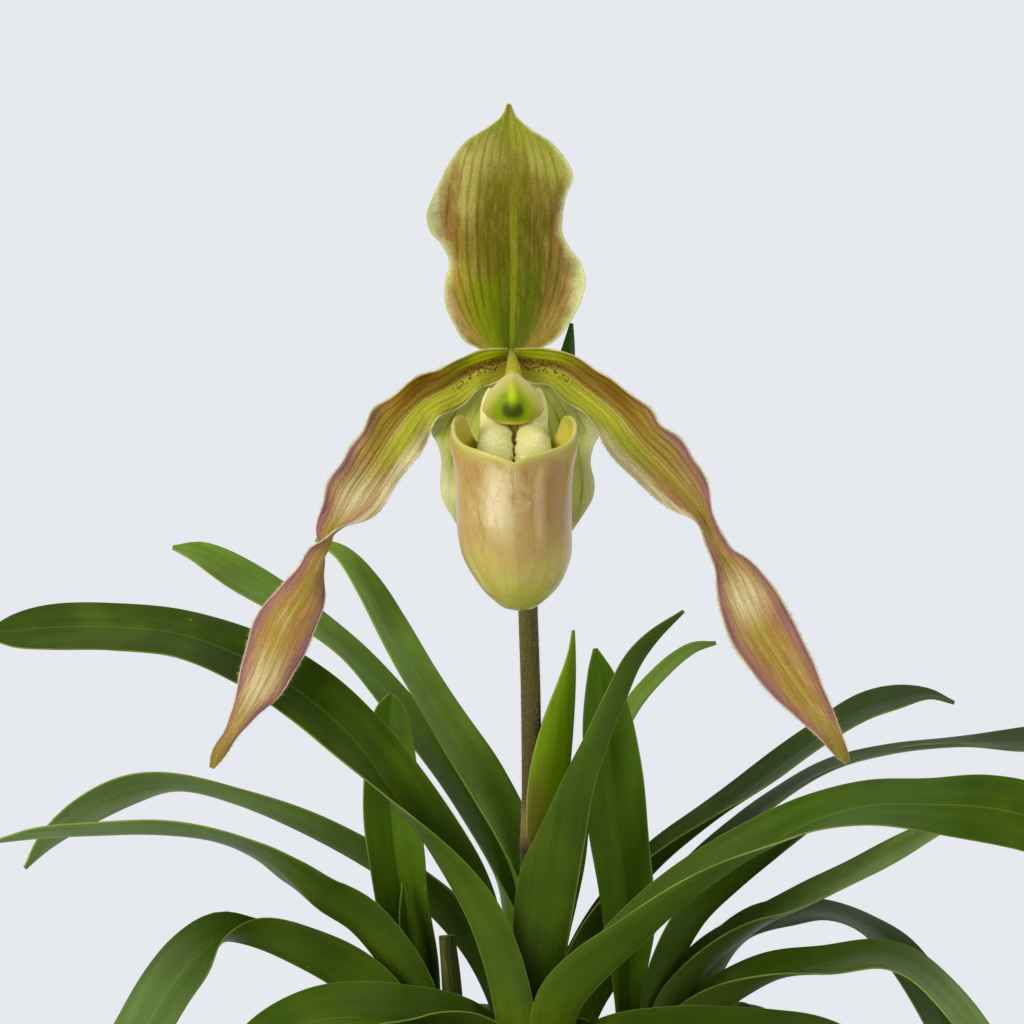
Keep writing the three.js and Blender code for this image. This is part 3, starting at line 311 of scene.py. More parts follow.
# Each row, from base to tip: the keel's x and z as measured, its depth y, the half width, the
# fold and the turn
LEAVES = (
    {"name": "leaf_front_left", "fan": "front", "lean": 1, "ring": 7.2, "turn": 0, "rows": [
        [-10, 113, -11, 9, 50, -10], [-11.2, 122, -14, 9, 50, -20], [-14, 133, -15, 8.8, 52, -16],
        [-17.5, 142, -15.2, 8.7, 58, 0], [-24, 153.5, -15.5, 8.7, 58, 26], [-33, 167, -16.5, 8.6, 38, 42],
        [-42, 179.5, -17, 8.5, 14, 46], [-52, 188.6, -17.5, 8.4, 11, 50], [-65, 197, -18, 8.2, 7, 48],
        [-80, 202.8, -18, 7.4, 5, 43], [-95, 204.4, -18, 7.3, 4, 42], [-108, 204.4, -18, 7, 4, 44],
        [-117, 203.6, -18, 5, 4, 44], [-123.5, 203, -18, 0.5, 4, 44]]},
    {"name": "leaf_front_right", "fan": "front", "lean": -1, "ring": 8.6, "turn": 0, "rows": [
        [6, 112, -12, 10, 48, -14], [7, 120, -16, 10.3, 44, -28], [12, 126.4, -18.5, 10, 50, -20],
        [20, 134, -19.5, 9.2, 58, 2], [30, 143.2, -20.5, 8.6, 54, 16], [40, 150.6, -22, 8.2, 46, 22],
        [50, 156.8, -23.5, 8, 32, 25], [60, 162, -25, 8, 18, 27], [72, 165.2, -27, 8, 8, 36],
        [85, 165.4, -29, 8, 2, 45], [97, 164.8, -31, 8, 0, 62], [108, 162.4, -33, 7.8, 0, 70],
        [120, 157, -35, 7.2, 0, 68], [130, 150, -37, 5, 0, 60], [137, 143.5, -39, 0.5, 0, 55]]},
    {"name": "leaf_front_centre", "fan": "front", "lean": -1, "ring": 5.8, "turn": 0, "rows": [
        [2.6, 113, -8.8, 6.2, 52, -6], [2.8, 122, -10.2, 7, 52, -20], [4.8, 136, -12.2, 12, 46, -38],
        [7.2, 150, -13.4, 12.6, 42, -44], [8.6, 158.5, -14.2, 10.2, 42, -42],
        [10.6, 170, -14.4, 6.9, 46, -34], [13.8, 179.5, -14.2, 5.6, 44, -24],
        [17.6, 189, -14, 5.1, 40, -20], [20.8, 196.5, -13.8, 4.6, 38, -18],
        [24.8, 202.2, -13.4, 3.4, 34, -14], [30.5, 208.2, -13, 0.5, 30, -10]]},
    {"name": "leaf_front_low_left", "fan": "front", "lean": 1, "ring": 10, "turn": 0, "rows": [
        [-14, 111.4, -11.5, 9.4, 54, 0], [-18, 114, -15, 9.2, 58, 8], [-23.5, 115.8, -19, 9, 60, 18],
        [-31, 117.2, -24, 8.8, 52, 26], [-40, 118.4, -30, 8.5, 34, 36], [-50, 117.8, -35.5, 8.2, 18, 44],
        [-60, 113, -40.5, 8, 12, 42], [-68, 104.6, -44.5, 7.6, 10, 40], [-73.5, 94, -47, 6, 8, 36],
        [-77, 82, -49, 0.5, 8, 34]]},
    {"name": "leaf_front_low_right", "fan": "front", "lean": -1, "ring": 10, "turn": 0, "rows": [
        [9.5, 109, -12.5, 9.5, 50, 0], [16, 112, -18, 8.8, 42, 10], [26, 114, -26, 8.2, 28, 22],
        [37, 114.8, -33.5, 8, 20, 26], [49, 114.6, -40, 8, 16, 26], [61, 112.8, -46, 8, 12, 24],
        [72, 107.4, -51.5, 7.8, 10, 22], [81, 98, -56, 7, 8, 20], [87, 86, -59, 5.4, 8, 18],
        [90, 74, -61, 0.5, 8, 18]]},
    {"name": "leaf_left_upright", "fan": "young", "lean": 1, "ring": 4.4, "turn": 88, "rows": [
        [-26.6, 114, 21, 5.8, 48, 88], [-28, 126, 17, 6.4, 42, 88], [-30.4, 139, 12.6, 6.8, 36, 88],
        [-32.6, 152, 9.4, 7.2, 32, 88], [-34, 165, 8, 7.2, 32, 86], [-34.4, 176, 7.6, 6.6, 32, 84],
        [-34.3, 184, 7.4, 4.9, 32, 84], [-34.1, 187.8, 7.3, 3.2, 32, 84],
        [-34, 190, 7.2, 0.5, 32, 84]]},
    {"name": "leaf_left_new", "fan": "young", "lean": 1, "ring": 2.6, "turn": 88, "rows": [
        [-27, 114, 17.6, 3, 46, 88], [-28, 122, 14.6, 3.2, 44, 88], [-29.4, 131, 11, 3, 40, 88],
        [-30.4, 140, 8, 2.3, 38, 88], [-31.2, 148.5, 5.6, 0.4, 36, 88]]},
    {"name": "leaf_left_middle", "fan": "left", "lean": 1, "ring": 7.1, "turn": 0, "rows": [
        [-30.6, 113, 0, 8.8, 56, -6], [-31.4, 121, -1, 9, 62, -8], [-35.6, 129.5, -2, 9, 62, -10],
        [-42.5, 138, -3, 8.8, 54, -18], [-50, 143, -4, 8.6, 34, -28], [-56, 149.2, -4.6, 8.2, 14, -24],
        [-63, 154.4, -5, 8, 8, -17], [-73, 158, -5.4, 8, 8, -12], [-86, 159.4, -5.8, 7.8, 10, -12],
        [-100, 159.2, -6, 7.2, 10, -13], [-112, 158.6, -6, 5, 9, -14], [-121.5, 157.4, -6, 0.5, 8, -14]]},
    {"name": "leaf_left_low", "fan": "left", "lean": 1, "ring": 8.6, "turn": 0, "rows": [
        [-33.4, 111.5, -1.5, 9.8, 54, -4], [-38, 118.5, -4, 10.2, 64, -12], [-46, 125.4, -6, 10.2, 72, -16],
        [-57, 131.6, -8, 8.8, 66, -16], [-65.4, 135, -9, 8, 48, -4], [-71.4, 135.6, -9.5, 7.8, 28, 24],
        [-77, 131.4, -10, 7.8, 16, 46], [-82.4, 125, -10.5, 7.8, 12, 52], [-87.2, 117, -11, 7.8, 12, 52],
        [-92, 107, -11.5, 7.8, 10, 52], [-95, 95, -12, 6.4, 10, 52], [-97.5, 82, -12, 0.5, 10, 52]]},
    {"name": "leaf_right_upright", "fan": "right", "lean": -1, "ring": 3.5, "turn": 84, "rows": [
        [18.6, 113, 5.4, 3.6, 52, 86], [18.4, 124, 5.6, 4.6, 44, 88], [18.4, 138, 7, 6.6, 34, 92],
        [17, 150, 7, 7.2, 30, 96], [15.4, 163, 6.8, 7.4, 28, 98], [14, 176, 6.6, 7.2, 28, 100],
        [12.8, 187, 6.4, 5.8, 28, 104], [11.6, 195, 6.2, 3.2, 28, 108], [11, 200, 6, 0.5, 28, 108]]},
    {"name": "leaf_right_inner", "fan": "right", "lean": -1, "ring": 5.7, "turn": 0, "rows": [
        [25.4, 113, 2.8, 5.8, 55, 0], [26.6, 122, 2.6, 6.8, 56, -2], [29.8, 131, 2.8, 7.8, 54, -4],
        [35, 140, 2.6, 8, 48, -6], [42.6, 147.4, 2.4, 7.8, 40, -4], [51, 154.4, 2.2, 7.4, 32, -4],
        [59, 160.8, 2, 6.4, 26, -2], [66, 166.4, 1.6, 0.5, 22, 0]]},
    {"name": "leaf_right_middle", "fan": "right", "lean": -1, "ring": 7.1, "turn": 0, "rows": [
        [27.8, 113, 3, 8.2, 54, 0], [30.4, 122, 4.2, 8.2, 50, 4], [37, 130.6, 5.6, 8, 40, 6],
        [46, 137.8, 6.6, 7.8, 26, 8], [56, 143.2, 7.4, 7.6, 16, 14], [66, 148.6, 8, 7.4, 12, 17],
        [76, 154, 8.2, 7, 11, 17], [85, 159, 8.2, 5.4, 11, 16], [93, 163.6, 8.2, 0.5, 11, 15]]},
    {"name": "leaf_right_low", "fan": "right", "lean": -1, "ring": 8.5, "turn": 0, "rows": [
        [30, 111, 2.8, 9, 54, 0], [35, 117, 1.8, 9, 56, 0], [42, 122.4, 0, 8.6, 48, 6],
        [51, 127.4, -1.5, 8.2, 28, 16], [62, 130.4, -2.6, 7.8, 10, 20], [73, 132.2, -3.6, 7.4, 5, 20],
        [80, 130.2, -4.2, 7.4, 5, 24], [87, 124.6, -4.8, 7.4, 5, 26], [93.4, 117, -5.4, 7.2, 5, 26],
        [99, 107.6, -6, 6.6, 5, 26], [103.4, 97.6, -6.5, 4.6, 5, 26], [106.5, 88, -7, 0.5, 5, 26]]},
    {"name": "leaf_back_left_arching", "fan": "back", "lean": 1, "ring": 8.5, "turn": 0, "rows": [
        [-10, 113, 25, 9, 56, 0], [-12.6, 123, 25, 9.4, 56, 0], [-18.6, 134, 23.4, 9, 58, 0],
        [-29, 145, 19.6, 8.2, 54, -2], [-41, 153, 18.6, 8, 44, -4], [-54, 160, 17.8, 8, 28, -10],
        [-67, 165.6, 17, 7.8, 16, -14], [-80, 169.2, 16.2, 7.6, 10, -16], [-91, 168, 15.4, 7.6, 8, -26],
        [-101, 163.4, 14.8, 7, 8, -28], [-109, 157.6, 14.2, 4.6, 8, -26], [-114.5, 151.6, 14, 0.5, 8, -24]]},
    {"name": "leaf_back_left_long", "fan": "back", "lean": 1, "ring": 7.1, "turn": 0, "rows": [
        [-7.8, 114, 24.6, 8, 56, 0], [-8.2, 126, 24, 8, 54, 4], [-8.8, 140, 22.8, 7.6, 44, 18],
        [-11.6, 154, 21.8, 7, 26, 32], [-17, 166, 21, 6.8, 14, 38], [-25, 178, 20.6, 6.2, 10, 38],
        [-33.6, 188.6, 20, 5.4, 8, 34], [-44, 199.8, 19.4, 5.6, 8, 28], [-56, 208.8, 18.8, 6.2, 8, 30],
        [-68, 216, 18.2, 6, 8, 36], [-76, 220.6, 17.8, 4, 8, 38], [-82, 222.2, 17.5, 0.5, 8, 38]]},
    {"name": "leaf_back_left_tall", "fan": "back", "lean": 1, "ring": 5.7, "turn": 0, "rows": [
        [-6, 114, 24.6, 6.6, 56, 0], [-5.8, 128, 23.6, 7, 54, 4], [-5.8, 144, 20.4, 7.2, 42, 24],
        [-8.6, 158, 18, 7.2, 26, 38], [-14, 170, 16.6, 7, 18, 40], [-21.4, 182, 15.6, 6.8, 12, 38],
        [-28.2, 193.6, 15, 6.6, 10, 34], [-34.4, 204.4, 14.6, 6.2, 10, 32], [-39.6, 213.6, 14.2, 5, 10, 34],
        [-44.6, 220.4, 14, 3, 10, 36], [-50.5, 224, 14, 0.5, 10, 36]]},
    {"name": "leaf_back_right_thin", "fan": "back", "lean": -1, "ring": 5.7, "turn": 0, "rows": [
        [3.8, 114, 24.8, 4.6, 54, 0], [4.4, 128, 24, 4, 46, 6], [5.4, 144, 22.4, 3.8, 34, 20],
        [8.6, 160, 21.6, 3.6, 24, 30], [13.6, 175, 21.2, 3.4, 18, 32], [19.4, 186.6, 21, 3.2, 16, 34],
        [26.6, 195.2, 20.8, 2.9, 14, 34], [32.4, 199.8, 20.6, 2, 12, 34], [37.6, 201.2, 20.4, 0.4, 12, 34]]},
    {"name": "leaf_back_right_short", "fan": "back", "lean": -1, "ring": 7.1, "turn": 0, "rows": [
        [6.2, 114, 24.8, 7.8, 56, 0], [9, 127, 24.6, 8, 54, 0], [15, 140, 24.6, 7.8, 46, 2],
        [25, 152, 25.2, 7.6, 34, 8], [36, 161.4, 25.8, 7.4, 22, 14], [48, 170.6, 26.4, 7.4, 14, 18],
        [60, 179.6, 27, 7.4, 10, 20], [70, 186, 27.4, 7.4, 10, 22], [78, 188.6, 27.6, 6.2, 10, 22],
        [84.4, 189.6, 27.8, 3, 10, 20], [90, 188, 28, 0.5, 10, 18]]},
    {"name": "leaf_back_right_long", "fan": "back", "lean": -1, "ring": 8.5, "turn": 0, "rows": [
        [8.4, 112, 25, 9, 55, 0], [13, 122, 25.4, 8.8, 56, 0], [21, 133.6, 26.4, 8.2, 46, 2],
        [31, 146.6, 28.4, 7.8, 32, 6], [41, 157, 30.6, 7.6, 20, 12], [50, 165.4, 32.4, 6.8, 14, 12],
        [62, 173, 34, 6.4, 12, 8], [76, 177, 35.2, 6.2, 12, 2], [90, 178.6, 36, 6.4, 10, 6],
        [104, 179, 36.4, 7.4, 8, 18], [118, 180.4, 36.8, 6.6, 8, 22], [130, 181, 37, 4, 8, 22],
        [137, 180, 37, 0.5, 8, 22]]},
    {"name": "leaf_back_low_left", "fan": "back", "lean": 1, "ring": 11.6, "turn": 50, "rows": [
        [-12.4, 113.2, 35.4, 11.6, 40, 34], [-17.7, 116.6, 42, 9.4, 28, 16], [-24.4, 118.3, 50, 8.4, 18, 4],
        [-31.1, 118.1, 57.5, 8, 12, -6], [-37.2, 114.4, 64, 8, 10, -22], [-41.9, 108.6, 69, 7.6, 8, -34],
        [-45.2, 99.3, 72.5, 5.6, 8, -40], [-47.5, 89, 75, 0.5, 8, -42]]},
    {"name": "leaf_far_arching", "fan": "far", "lean": -1, "ring": 8.5, "turn": 0, "rows": [
        [33.6, 113, 27, 8.2, 57, -2], [36.4, 123, 23.4, 8.6, 50, 0], [41, 132.6, 20.4, 8.2, 36, 10],
        [47, 138.2, 19.6, 8, 20, 20], [54, 141.2, 19, 7.8, 8, 18], [62, 141.6, 18.4, 7.6, 6, 12],
        [70, 138.8, 17.8, 7.6, 6, 16], [77, 133.4, 17.2, 7.6, 6, 30], [82.6, 126, 16.8, 7.4, 6, 34],
        [87.4, 116, 16.4, 7.2, 6, 34], [91, 104, 16, 5.6, 6, 34], [93.5, 92, 16, 0.5, 6, 34]]},
    {"name": "leaf_far_low", "fan": "far", "lean": -1, "ring": 12.4, "turn": 58, "rows": [
        [36, 113.4, 39, 11.4, 40, 34], [40.1, 117.6, 44, 9.2, 28, 14], [45.3, 118.7, 49.5, 8, 16, 0],
        [50.4, 115.7, 55.5, 8, 10, -16], [54.5, 109.3, 60, 7.6, 8, -32], [57.7, 100.5, 63.5, 5.6, 8, -40],
        [60, 90.2, 66, 0.5, 8, -42]]},
)
# Some leaves are greener, yellower or darker than a full-grown one; the backlit ones are painted lighter,
# for the light shining through them and their sheen, and the shaded one is painted darker. The greens are
# those of the upper face, the lower face and the tip
LEAF_GREENS = {
    "young_leaf": ("#4c6c10", "#507020", "#4c6c10"),
    # Painted light: these greens are lighter, for the light that shines through the back leaves
    "backlit_leaf": ("#5c7c22", "#5f7e2a", "#6c8c32"),
    "far_leaf": ("#3c5410", "#4a6220", "#66803e"),
    "front_leaf": ("#3c560e", "#466218", "#2f460c"),
    "shaded_leaf": ("#1f3202", "#32470c", "#46601c"),
    "pale_tipped_leaf": ("#233602", "#374c0e", "#5c7838"),
}
LEAF_TISSUES = {
    "leaf_left_upright": "young_leaf",
    "leaf_left_new": "young_leaf",
    "leaf_right_upright": "young_leaf",
    # The three back leaves take the lighter greens painted for backlight
    "leaf_back_left_long": "backlit_leaf",
    "leaf_back_left_tall": "backlit_leaf",
    "leaf_back_right_thin": "backlit_leaf",
    "leaf_back_left_arching": "far_leaf",
    "leaf_right_middle": "far_leaf",
    "leaf_right_low": "far_leaf",
    "leaf_front_right": "front_leaf",
    "leaf_front_low_left": "front_leaf",
    "leaf_front_centre": "shaded_leaf",
    "leaf_left_middle": "pale_tipped_leaf",
    "leaf_left_low": "pale_tipped_leaf",
}


def leaf_rows(leaf):
    """A leaf's rows as a blade takes them: its foot on the crown, a short straight neck, its blade."""
    foot = base_row(leaf["fan"], leaf["lean"], leaf["ring"], leaf["turn"])
    neck = foot[:2] + [foot[2] + NECK] + foot[3:]
    blade = [at(x, z, y) + [half, half, fold, turn, 0.5 * fold + 4]
             for x, z, y, half, fold, turn in leaf["rows"]]
    return [foot, neck] + blade


def bump(share, centre, breadth):
    """A rounded bump of height 1 at one place, falling to a third a breadth away from it."""
    return np.exp(-((share - centre) / breadth) ** 2)


# Node materials

def linear(code):
    """An sRGB hex colour as linear red, green, blue and alpha."""
    parts = [int(code[i:i + 2], 16) / 255 for i in (1, 3, 5)]
    return [p / 12.92 if p <= 0.04045 else ((p + 0.055) / 1.055) ** 2.4 for p in parts] + [1.0]


def add_node(tree, kind, inputs=None, **settings):
    """Adds one node with its settings; inputs maps sockets to values or to other nodes' outputs."""
    made = tree.nodes.new(kind)
    for name, value in settings.items():
        setattr(made, name, value)
    for socket, value in (inputs or {}).items():
        if isinstance(value, bpy.types.NodeSocket):
            tree.links.new(value, made.inputs[socket])
        else:
            made.inputs[socket].default_value = value
    return made


class Finish:
    """A material in the making: its colour so far, its relief so far and its shader."""

    def __init__(self, name, base, roughness, **shader):
        self.material = bpy.data.materials.new(name)
        self.material.use_nodes = True
        self.tree = self.material.node_tree
        self.tree.nodes.clear()
        self.shader = add_node(self.tree, "ShaderNodeBsdfPrincipled",
                               {"Roughness": roughness, **shader})
        end = add_node(self.tree, "ShaderNodeOutputMaterial")
        self.tree.links.new(self.shader.outputs[0], end.inputs["Surface"])
        start = add_node(self.tree, "ShaderNodeRGB")
        start.outputs[0].default_value = linear(base)
        self.colour = start.outputs[0]
        self.relief = None
        self.marks = {name: add_node(self.tree, "ShaderNodeAttribute", attribute_name=name).outputs["Fac"]
                      for name in Skin.MARKS}
        self.flat = add_node(self.tree, "ShaderNodeUVMap", uv_map="Flat").outputs["UV"]
        self.place = add_node(self.tree, "ShaderNodeTexCoord").outputs["Object"]

    def reckon(self, operation, *terms):
        """One step of arithmetic on numbers or sockets."""
        return add_node(self.tree, "ShaderNodeMath", dict(enumerate(terms)),
                        operation=operation).outputs[0]

    def times(self, product, *others):
        """The product of numbers or sockets, so of masks the place where all of them hold."""
        for other in others:
            product = self.reckon("MULTIPLY", product, other)
        return product

    def plus(self, first, second):
        """Two numbers or sockets added."""
        return self.reckon("ADD", first, second)

    def swing(self, noise, reach):
        """Noise from 0 to 1 as a shift to both sides, half the reach at most."""
        return self.times(self.reckon("SUBTRACT", noise, 0.5), reach)

    def fade(self, value, start, end, low=0.0, high=1.0):
        """Eases from low to high while value goes from start to end."""
        return add_node(self.tree, "ShaderNodeMapRange",
                        {"Value": value, "From Min": start, "From Max": end, "To Min": low, "To Max": high},
                        interpolation_type="SMOOTHSTEP").outputs["Result"]

    def away(self, value, centre, breadth):
        """1 where value is at the centre, easing to 0 a breadth away on both sides."""
        off = self.reckon("ABSOLUTE", self.reckon("SUBTRACT", value, centre))
        return self.fade(off, breadth, 0.0)

    def grain(self, size, stretch=(1, 1, 1), flat=False, detail=3.0):
        """Noise with lumps of the given size in mm, from 0 to 1, in space or laid out flat."""
        scaled = add_node(self.tree, "ShaderNodeVectorMath",
                          {0: self.flat if flat else self.place, 1: stretch}, operation="MULTIPLY")
        return add_node(self.tree, "ShaderNodeTexNoise",
                        {"Vector": scaled.outputs[0], "Scale": 1 / (size * MM), "Detail": detail,
                         "Roughness": 0.55}, noise_dimensions="3D").outputs["Fac"]

    def specks(self, spacing, edge, heart, place=None):
        """Scattered round specks, one about every spacing in mm, as a mask.

        It is 0 from the edge of a speck outwards and 1 at its heart, as shares of the spacing.
        """
        cells = add_node(self.tree, "ShaderNodeTexVoronoi",
                         {"Vector": self.place if place is None else place, "Scale": 1 / (spacing * MM)})
        return self.fade(cells.outputs["Distance"], edge, heart)

    def tint(self, code, *amounts):
        """Lays a colour over what is there, by the product of numbers or sockets."""
        self.colour = add_node(self.tree, "ShaderNodeMix",
                               {0: self.times(*amounts), 6: self.colour, 7: linear(code)},
                               data_type="RGBA").outputs[2]

    def shade(self, value, amount):
        """Lightens and darkens by a value from 0 to 1, by up to amount either way."""
        gain = self.fade(value, 0.25, 0.75, 1 - amount, 1 + amount)
        self.colour = add_node(self.tree, "ShaderNodeVectorMath", {0: self.colour, "Scale": gain},
                               operation="SCALE").outputs[0]

    def raise_by(self, value, height):
        """Adds relief: value from 0 to 1 stands for a height in mm."""
        step = self.times(value, height)
        self.relief = step if self.relief is None else self.plus(self.relief, step)

    def done(self, strength=1.0):
        """Joins colour and relief to the shader and gives the material."""
        self.tree.links.new(self.colour, self.shader.inputs["Base Color"])
        if self.relief is not None:
            bumped = add_node(self.tree, "ShaderNodeBump",
                              {"Height": self.relief, "Strength": strength, "Distance": MM})
            self.tree.links.new(bumped.outputs[0], self.shader.inputs["Normal"])
        return self.material


def veins(finish, count, width, wander=0.03):
    """Lines that run from base to tip, gathered at both ends, as a mask from 0 to 1."""
    place = finish.plus(finish.marks["lane"], finish.swing(finish.grain(6), wander))
    wave = finish.reckon("COSINE", finish.times(place, count * math.pi))
    return finish.fade(wave, 1 - width, 1.0)


def living_leaf(name, base_green, blade_green, under_green, tip_green):
    """A living strap leaf: waxy skin over long parallel veins, paler below and at the base."""
    finish = Finish(name, blade_green, 0.38, **{"Specular IOR Level": 0.06})
    share, side = finish.marks["share"], finish.marks["side"]
    span = finish.reckon("ABSOLUTE", side)
    outer = finish.fade(finish.marks["inner"], 0.6, 0.4)
    finish.tint(under_green, outer)
    finish.tint(tip_green, finish.fade(share, 0.4, 0.8))
    # Clouds of younger, yellower tissue, 30 mm across
    finish.tint("#465d0b", finish.fade(finish.grain(30), 0.48, 0.68, 0, 0.5))
    height = finish.plus(share, finish.times(finish.grain(14), 0.16))
    finish.tint(base_green, finish.fade(height, 0.26, 0.1), 0.9)
    # Long streaks of lighter and darker tissue, 2.5 mm wide
    finish.shade(finish.grain(2.5, stretch=(1, 0.05, 1), flat=True), 0.14)
    finish.shade(finish.grain(22), 0.16)
    # Parallel veins stand 0.7 mm apart
    across = add_node(finish.tree, "ShaderNodeSeparateXYZ", {0: finish.flat}).outputs[0]
    ridge = finish.reckon("SINE", finish.times(across, 2 * math.pi / (0.7 * MM)))
    finish.raise_by(ridge, 0.012)
    finish.shade(finish.fade(ridge, -1, 1), 0.04)
    # The keel shows as a soft pale line, stronger outside, and the margins as a thin clear one
    finish.tint("#7d9440", finish.fade(span, 0.035, 0.0), finish.fade(outer, 0, 1, 0.2, 0.55))
    finish.tint("#8d9a48", finish.fade(span, 0.982, 0.998),
                finish.fade(finish.grain(12), 0.35, 0.65, 0.25, 0.6))
    # Dust and dried water leave pale specks about 0.5 mm wide
    finish.tint("#b9c4a0", finish.specks(4.5, 0.075, 0.04),
                finish.fade(finish.grain(30), 0.52, 0.68, 0, 0.4))
    finish.raise_by(finish.grain(1.2), 0.02)
    return finish.done(0.6)


# Operators

class LeafSizes(bpy.types.PropertyGroup):
    """How the leaves are drawn."""

    thickness: bpy.props.FloatProperty(
        name="Thickness", description="Thickness of a leaf blade at its keel",
        default=LEAF_THICKNESS * MM, unit="LENGTH")
    steps: bpy.props.IntProperty(
        name="Steps", description="Sections along one leaf", default=84, min=20, max=200)
    blade_green: bpy.props.StringProperty(
        name="Blade green", description="Upper face of a full-grown leaf, as sRGB hex", default="#2b3f04")
    under_green: bpy.props.StringProperty(
        name="Under green", description="Lower face of a full-grown leaf, as sRGB hex", default="#3f5617")
    base_green: bpy.props.StringProperty(
        name="Base green", description="Colour of the leaf bases, as sRGB hex", default="#5a700a")


class ORCHID_OT_leaves(bpy.types.Operator):
    """Grow the strap leaves over their solids"""

    bl_idname = "orchid.leaves"
    bl_label = "Leaves"

    def execute(self, context):
        sizes = context.scene.orchid_leaves
        grown = {"waxy_leaf": (sizes.blade_green, sizes.under_green, sizes.blade_green)}
        tissues = {name: living_leaf(name, sizes.base_green, *greens)
                   for name, greens in {**LEAF_GREENS, **grown}.items()}
        for number, leaf in enumerate(LEAVES):
            phase = 1.7 * number

            def ruffle(share, side):
                margin = np.abs(side) ** 3 * np.sin(share * math.pi)
                return 0.28 * margin * np.sin(share * 23 + phase + side)

            skin = add_blade(Skin(), leaf_rows(leaf), leaf["lean"], sizes.steps, 16,
                             sizes.thickness / MM, ruffle=ruffle)
            stand_in(leaf["name"], skin, "leaf", tissues[LEAF_TISSUES.get(leaf["name"], "waxy_leaf")])
        return {"FINISHED"}


# The flower

DORSAL_ROWS = [[-8, y, z, right, left, fold, 90, 8] for z, y, right, left, fold in (
    (264.2, -14, 4, 4, 12), (266.2, -13.2, 9.6, 9.4, 12), (270, -12, 13.4, 12.2, 12),
    (275, -10.8, 16.4, 14.2, 12), (280, -10.2, 17.2, 13.8, 11), (284.5, -10, 15.9, 12.8, 10),
    (288, -10, 13.2, 14.6, 10), (291, -10, 11.5, 17.4, 9), (295, -10.2, 11.4, 18.4, 8),
    (299, -10.6, 12.4, 17, 8), (303.5, -11.3, 14.2, 14.8, 8), (308, -12.4, 12.2, 12.3, 9),
    (311.4, -13.6, 9, 9.6, 10), (313.4, -14.4, 5.6, 6.2, 12), (316, -15.6, 2, 2.1, 14),
    (318.7, -17, 0.5, 0.5, 14))]
SYNSEPAL_ROWS = [[-6.5, y, z, right, left, 9, 90, 8] for z, y, right, left in (
    (258.8, -14.9, 5, 5), (255.4, -16, 10.6, 11), (251, -17, 16.6, 16.6), (247, -18, 18.4, 18.4),
    (243.5, -19, 17.4, 17.3), (240, -19.8, 16.6, 16.5), (236, -20.6, 17.1, 16.4),
    (232, -21.2, 16.6, 15.9), (228, -21.8, 14.4, 13.9), (224, -22.2, 11, 10.5),
    (219, -22.4, 6.4, 6), (215.5, -22.4, 3, 3), (213, -22.2, 0.5, 0.5))]
LEFT_PETAL = [
    [-7.9, -15.8, 262.9, 3, 20, 76], [-11, -16.8, 261.9, 3.8, 20, 80],
    [-15.3, -18, 260.4, 4.2, 18, 84], [-21, -20, 257, 4.7, 14, 88],
    [-27.3, -22, 253.4, 5.5, 10, 90], [-32.6, -23.5, 247, 6.7, 8, 90], [-36.8, -24.5, 240.4, 6.5, 8, 90],
    [-40.5, -25.4, 235, 6.5, 10, 88], [-43.6, -26, 229.6, 5.4, 20, 74], [-45.9, -26.5, 225.6, 4.2, 34, 38],
    [-47, -26.9, 222.4, 3.7, 42, -2], [-48.4, -27.3, 219.6, 3.8, 34, -40], [-50, -27.8, 216.2, 4, 20, -66],
    [-52.8, -28.4, 211.2, 5.4, 8, -86], [-56, -29, 206, 6.4, 8, -90], [-58.6, -29.4, 200, 6.3, 8, -90],
    [-61.6, -29.8, 193, 5, 10, -90], [-65, -30.2, 187, 2.8, 12, -92], [-67.8, -30.4, 182.4, 1.6, 8, -95],
    [-70.3, -30.6, 178.4, 1.6, 6, -95], [-72, -30.8, 174.8, 0.5, 5, -95],
]
RIGHT_PETAL = [
    [-7, -15.8, 262.9, 3, 20, 76], [-4, -16.8, 262, 3.7, 20, 80],
    [3, -18.4, 260.6, 4.5, 18, 84], [9.8, -20.4, 255.8, 4.9, 14, 88],
    [15.4, -22, 251.2, 5.8, 10, 90], [20.2, -23.4, 245.2, 6.4, 8, 90], [26.4, -24.6, 239, 6.6, 8, 90],
    [31.4, -25.4, 233, 4.6, 14, 88], [34.4, -25.9, 228, 2.9, 34, 84], [36, -26.3, 224.3, 2.3, 46, 82],
    [38, -26.7, 220.8, 2.9, 30, 86], [40.8, -27.2, 216.8, 4.7, 12, 90], [43.5, -27.7, 211, 6.5, 8, 90],
    [46.2, -28.1, 205.3, 7.1, 8, 90], [49.7, -28.4, 199.3, 6.8, 8, 90], [53.5, -28.6, 193.4, 5.7, 8, 90],
    [57.2, -28.7, 188.2, 4.2, 10, 90], [60.6, -28.6, 183.3, 2.8, 12, 90], [63.2, -28.4, 179, 1.8, 12, 90],
    [65.2, -28.2, 175.8, 0.5, 12, 90],
]
# Patches of colour: where each lies across (-1 left to 1 right) and along (0 base to 1 tip), with its
# reach both ways and its strength
DORSAL_PATCHES = (
    ("#bdb262", -0.5, 0.85, 0.75, 0.36, 0.8), ("#a2a650", 0.6, 0.55, 0.84, 0.24, 0.6),
    ("#8a8e2a", 0.0, 1.6, 0.96, 0.2, 0.9), ("#8a6530", -0.8, 0.32, 0.54, 0.24, 0.9),
    ("#a08630", -0.75, 0.6, 0.2, 0.36, 0.7), ("#705a26", 0.6, 0.55, 0.42, 0.42, 0.85),
    ("#605c02", -0.06, 0.66, 0.5, 0.54, 0.95), ("#525200", 0.2, 0.56, 0.34, 0.36, 0.85),
    ("#6c8000", -0.3, 0.7, 0.08, 0.4, 0.9), ("#465800", 0.16, 0.7, 0.08, 0.42, 0.9),
    ("#8e9014", 0.06, 0.14, 0.3, 0.6, 0.4), ("#a58560", -0.95, 0.2, 0.16, 0.2, 0.45),
    ("#8e6a40", 0.9, 0.22, 0.2, 0.2, 0.5),
)
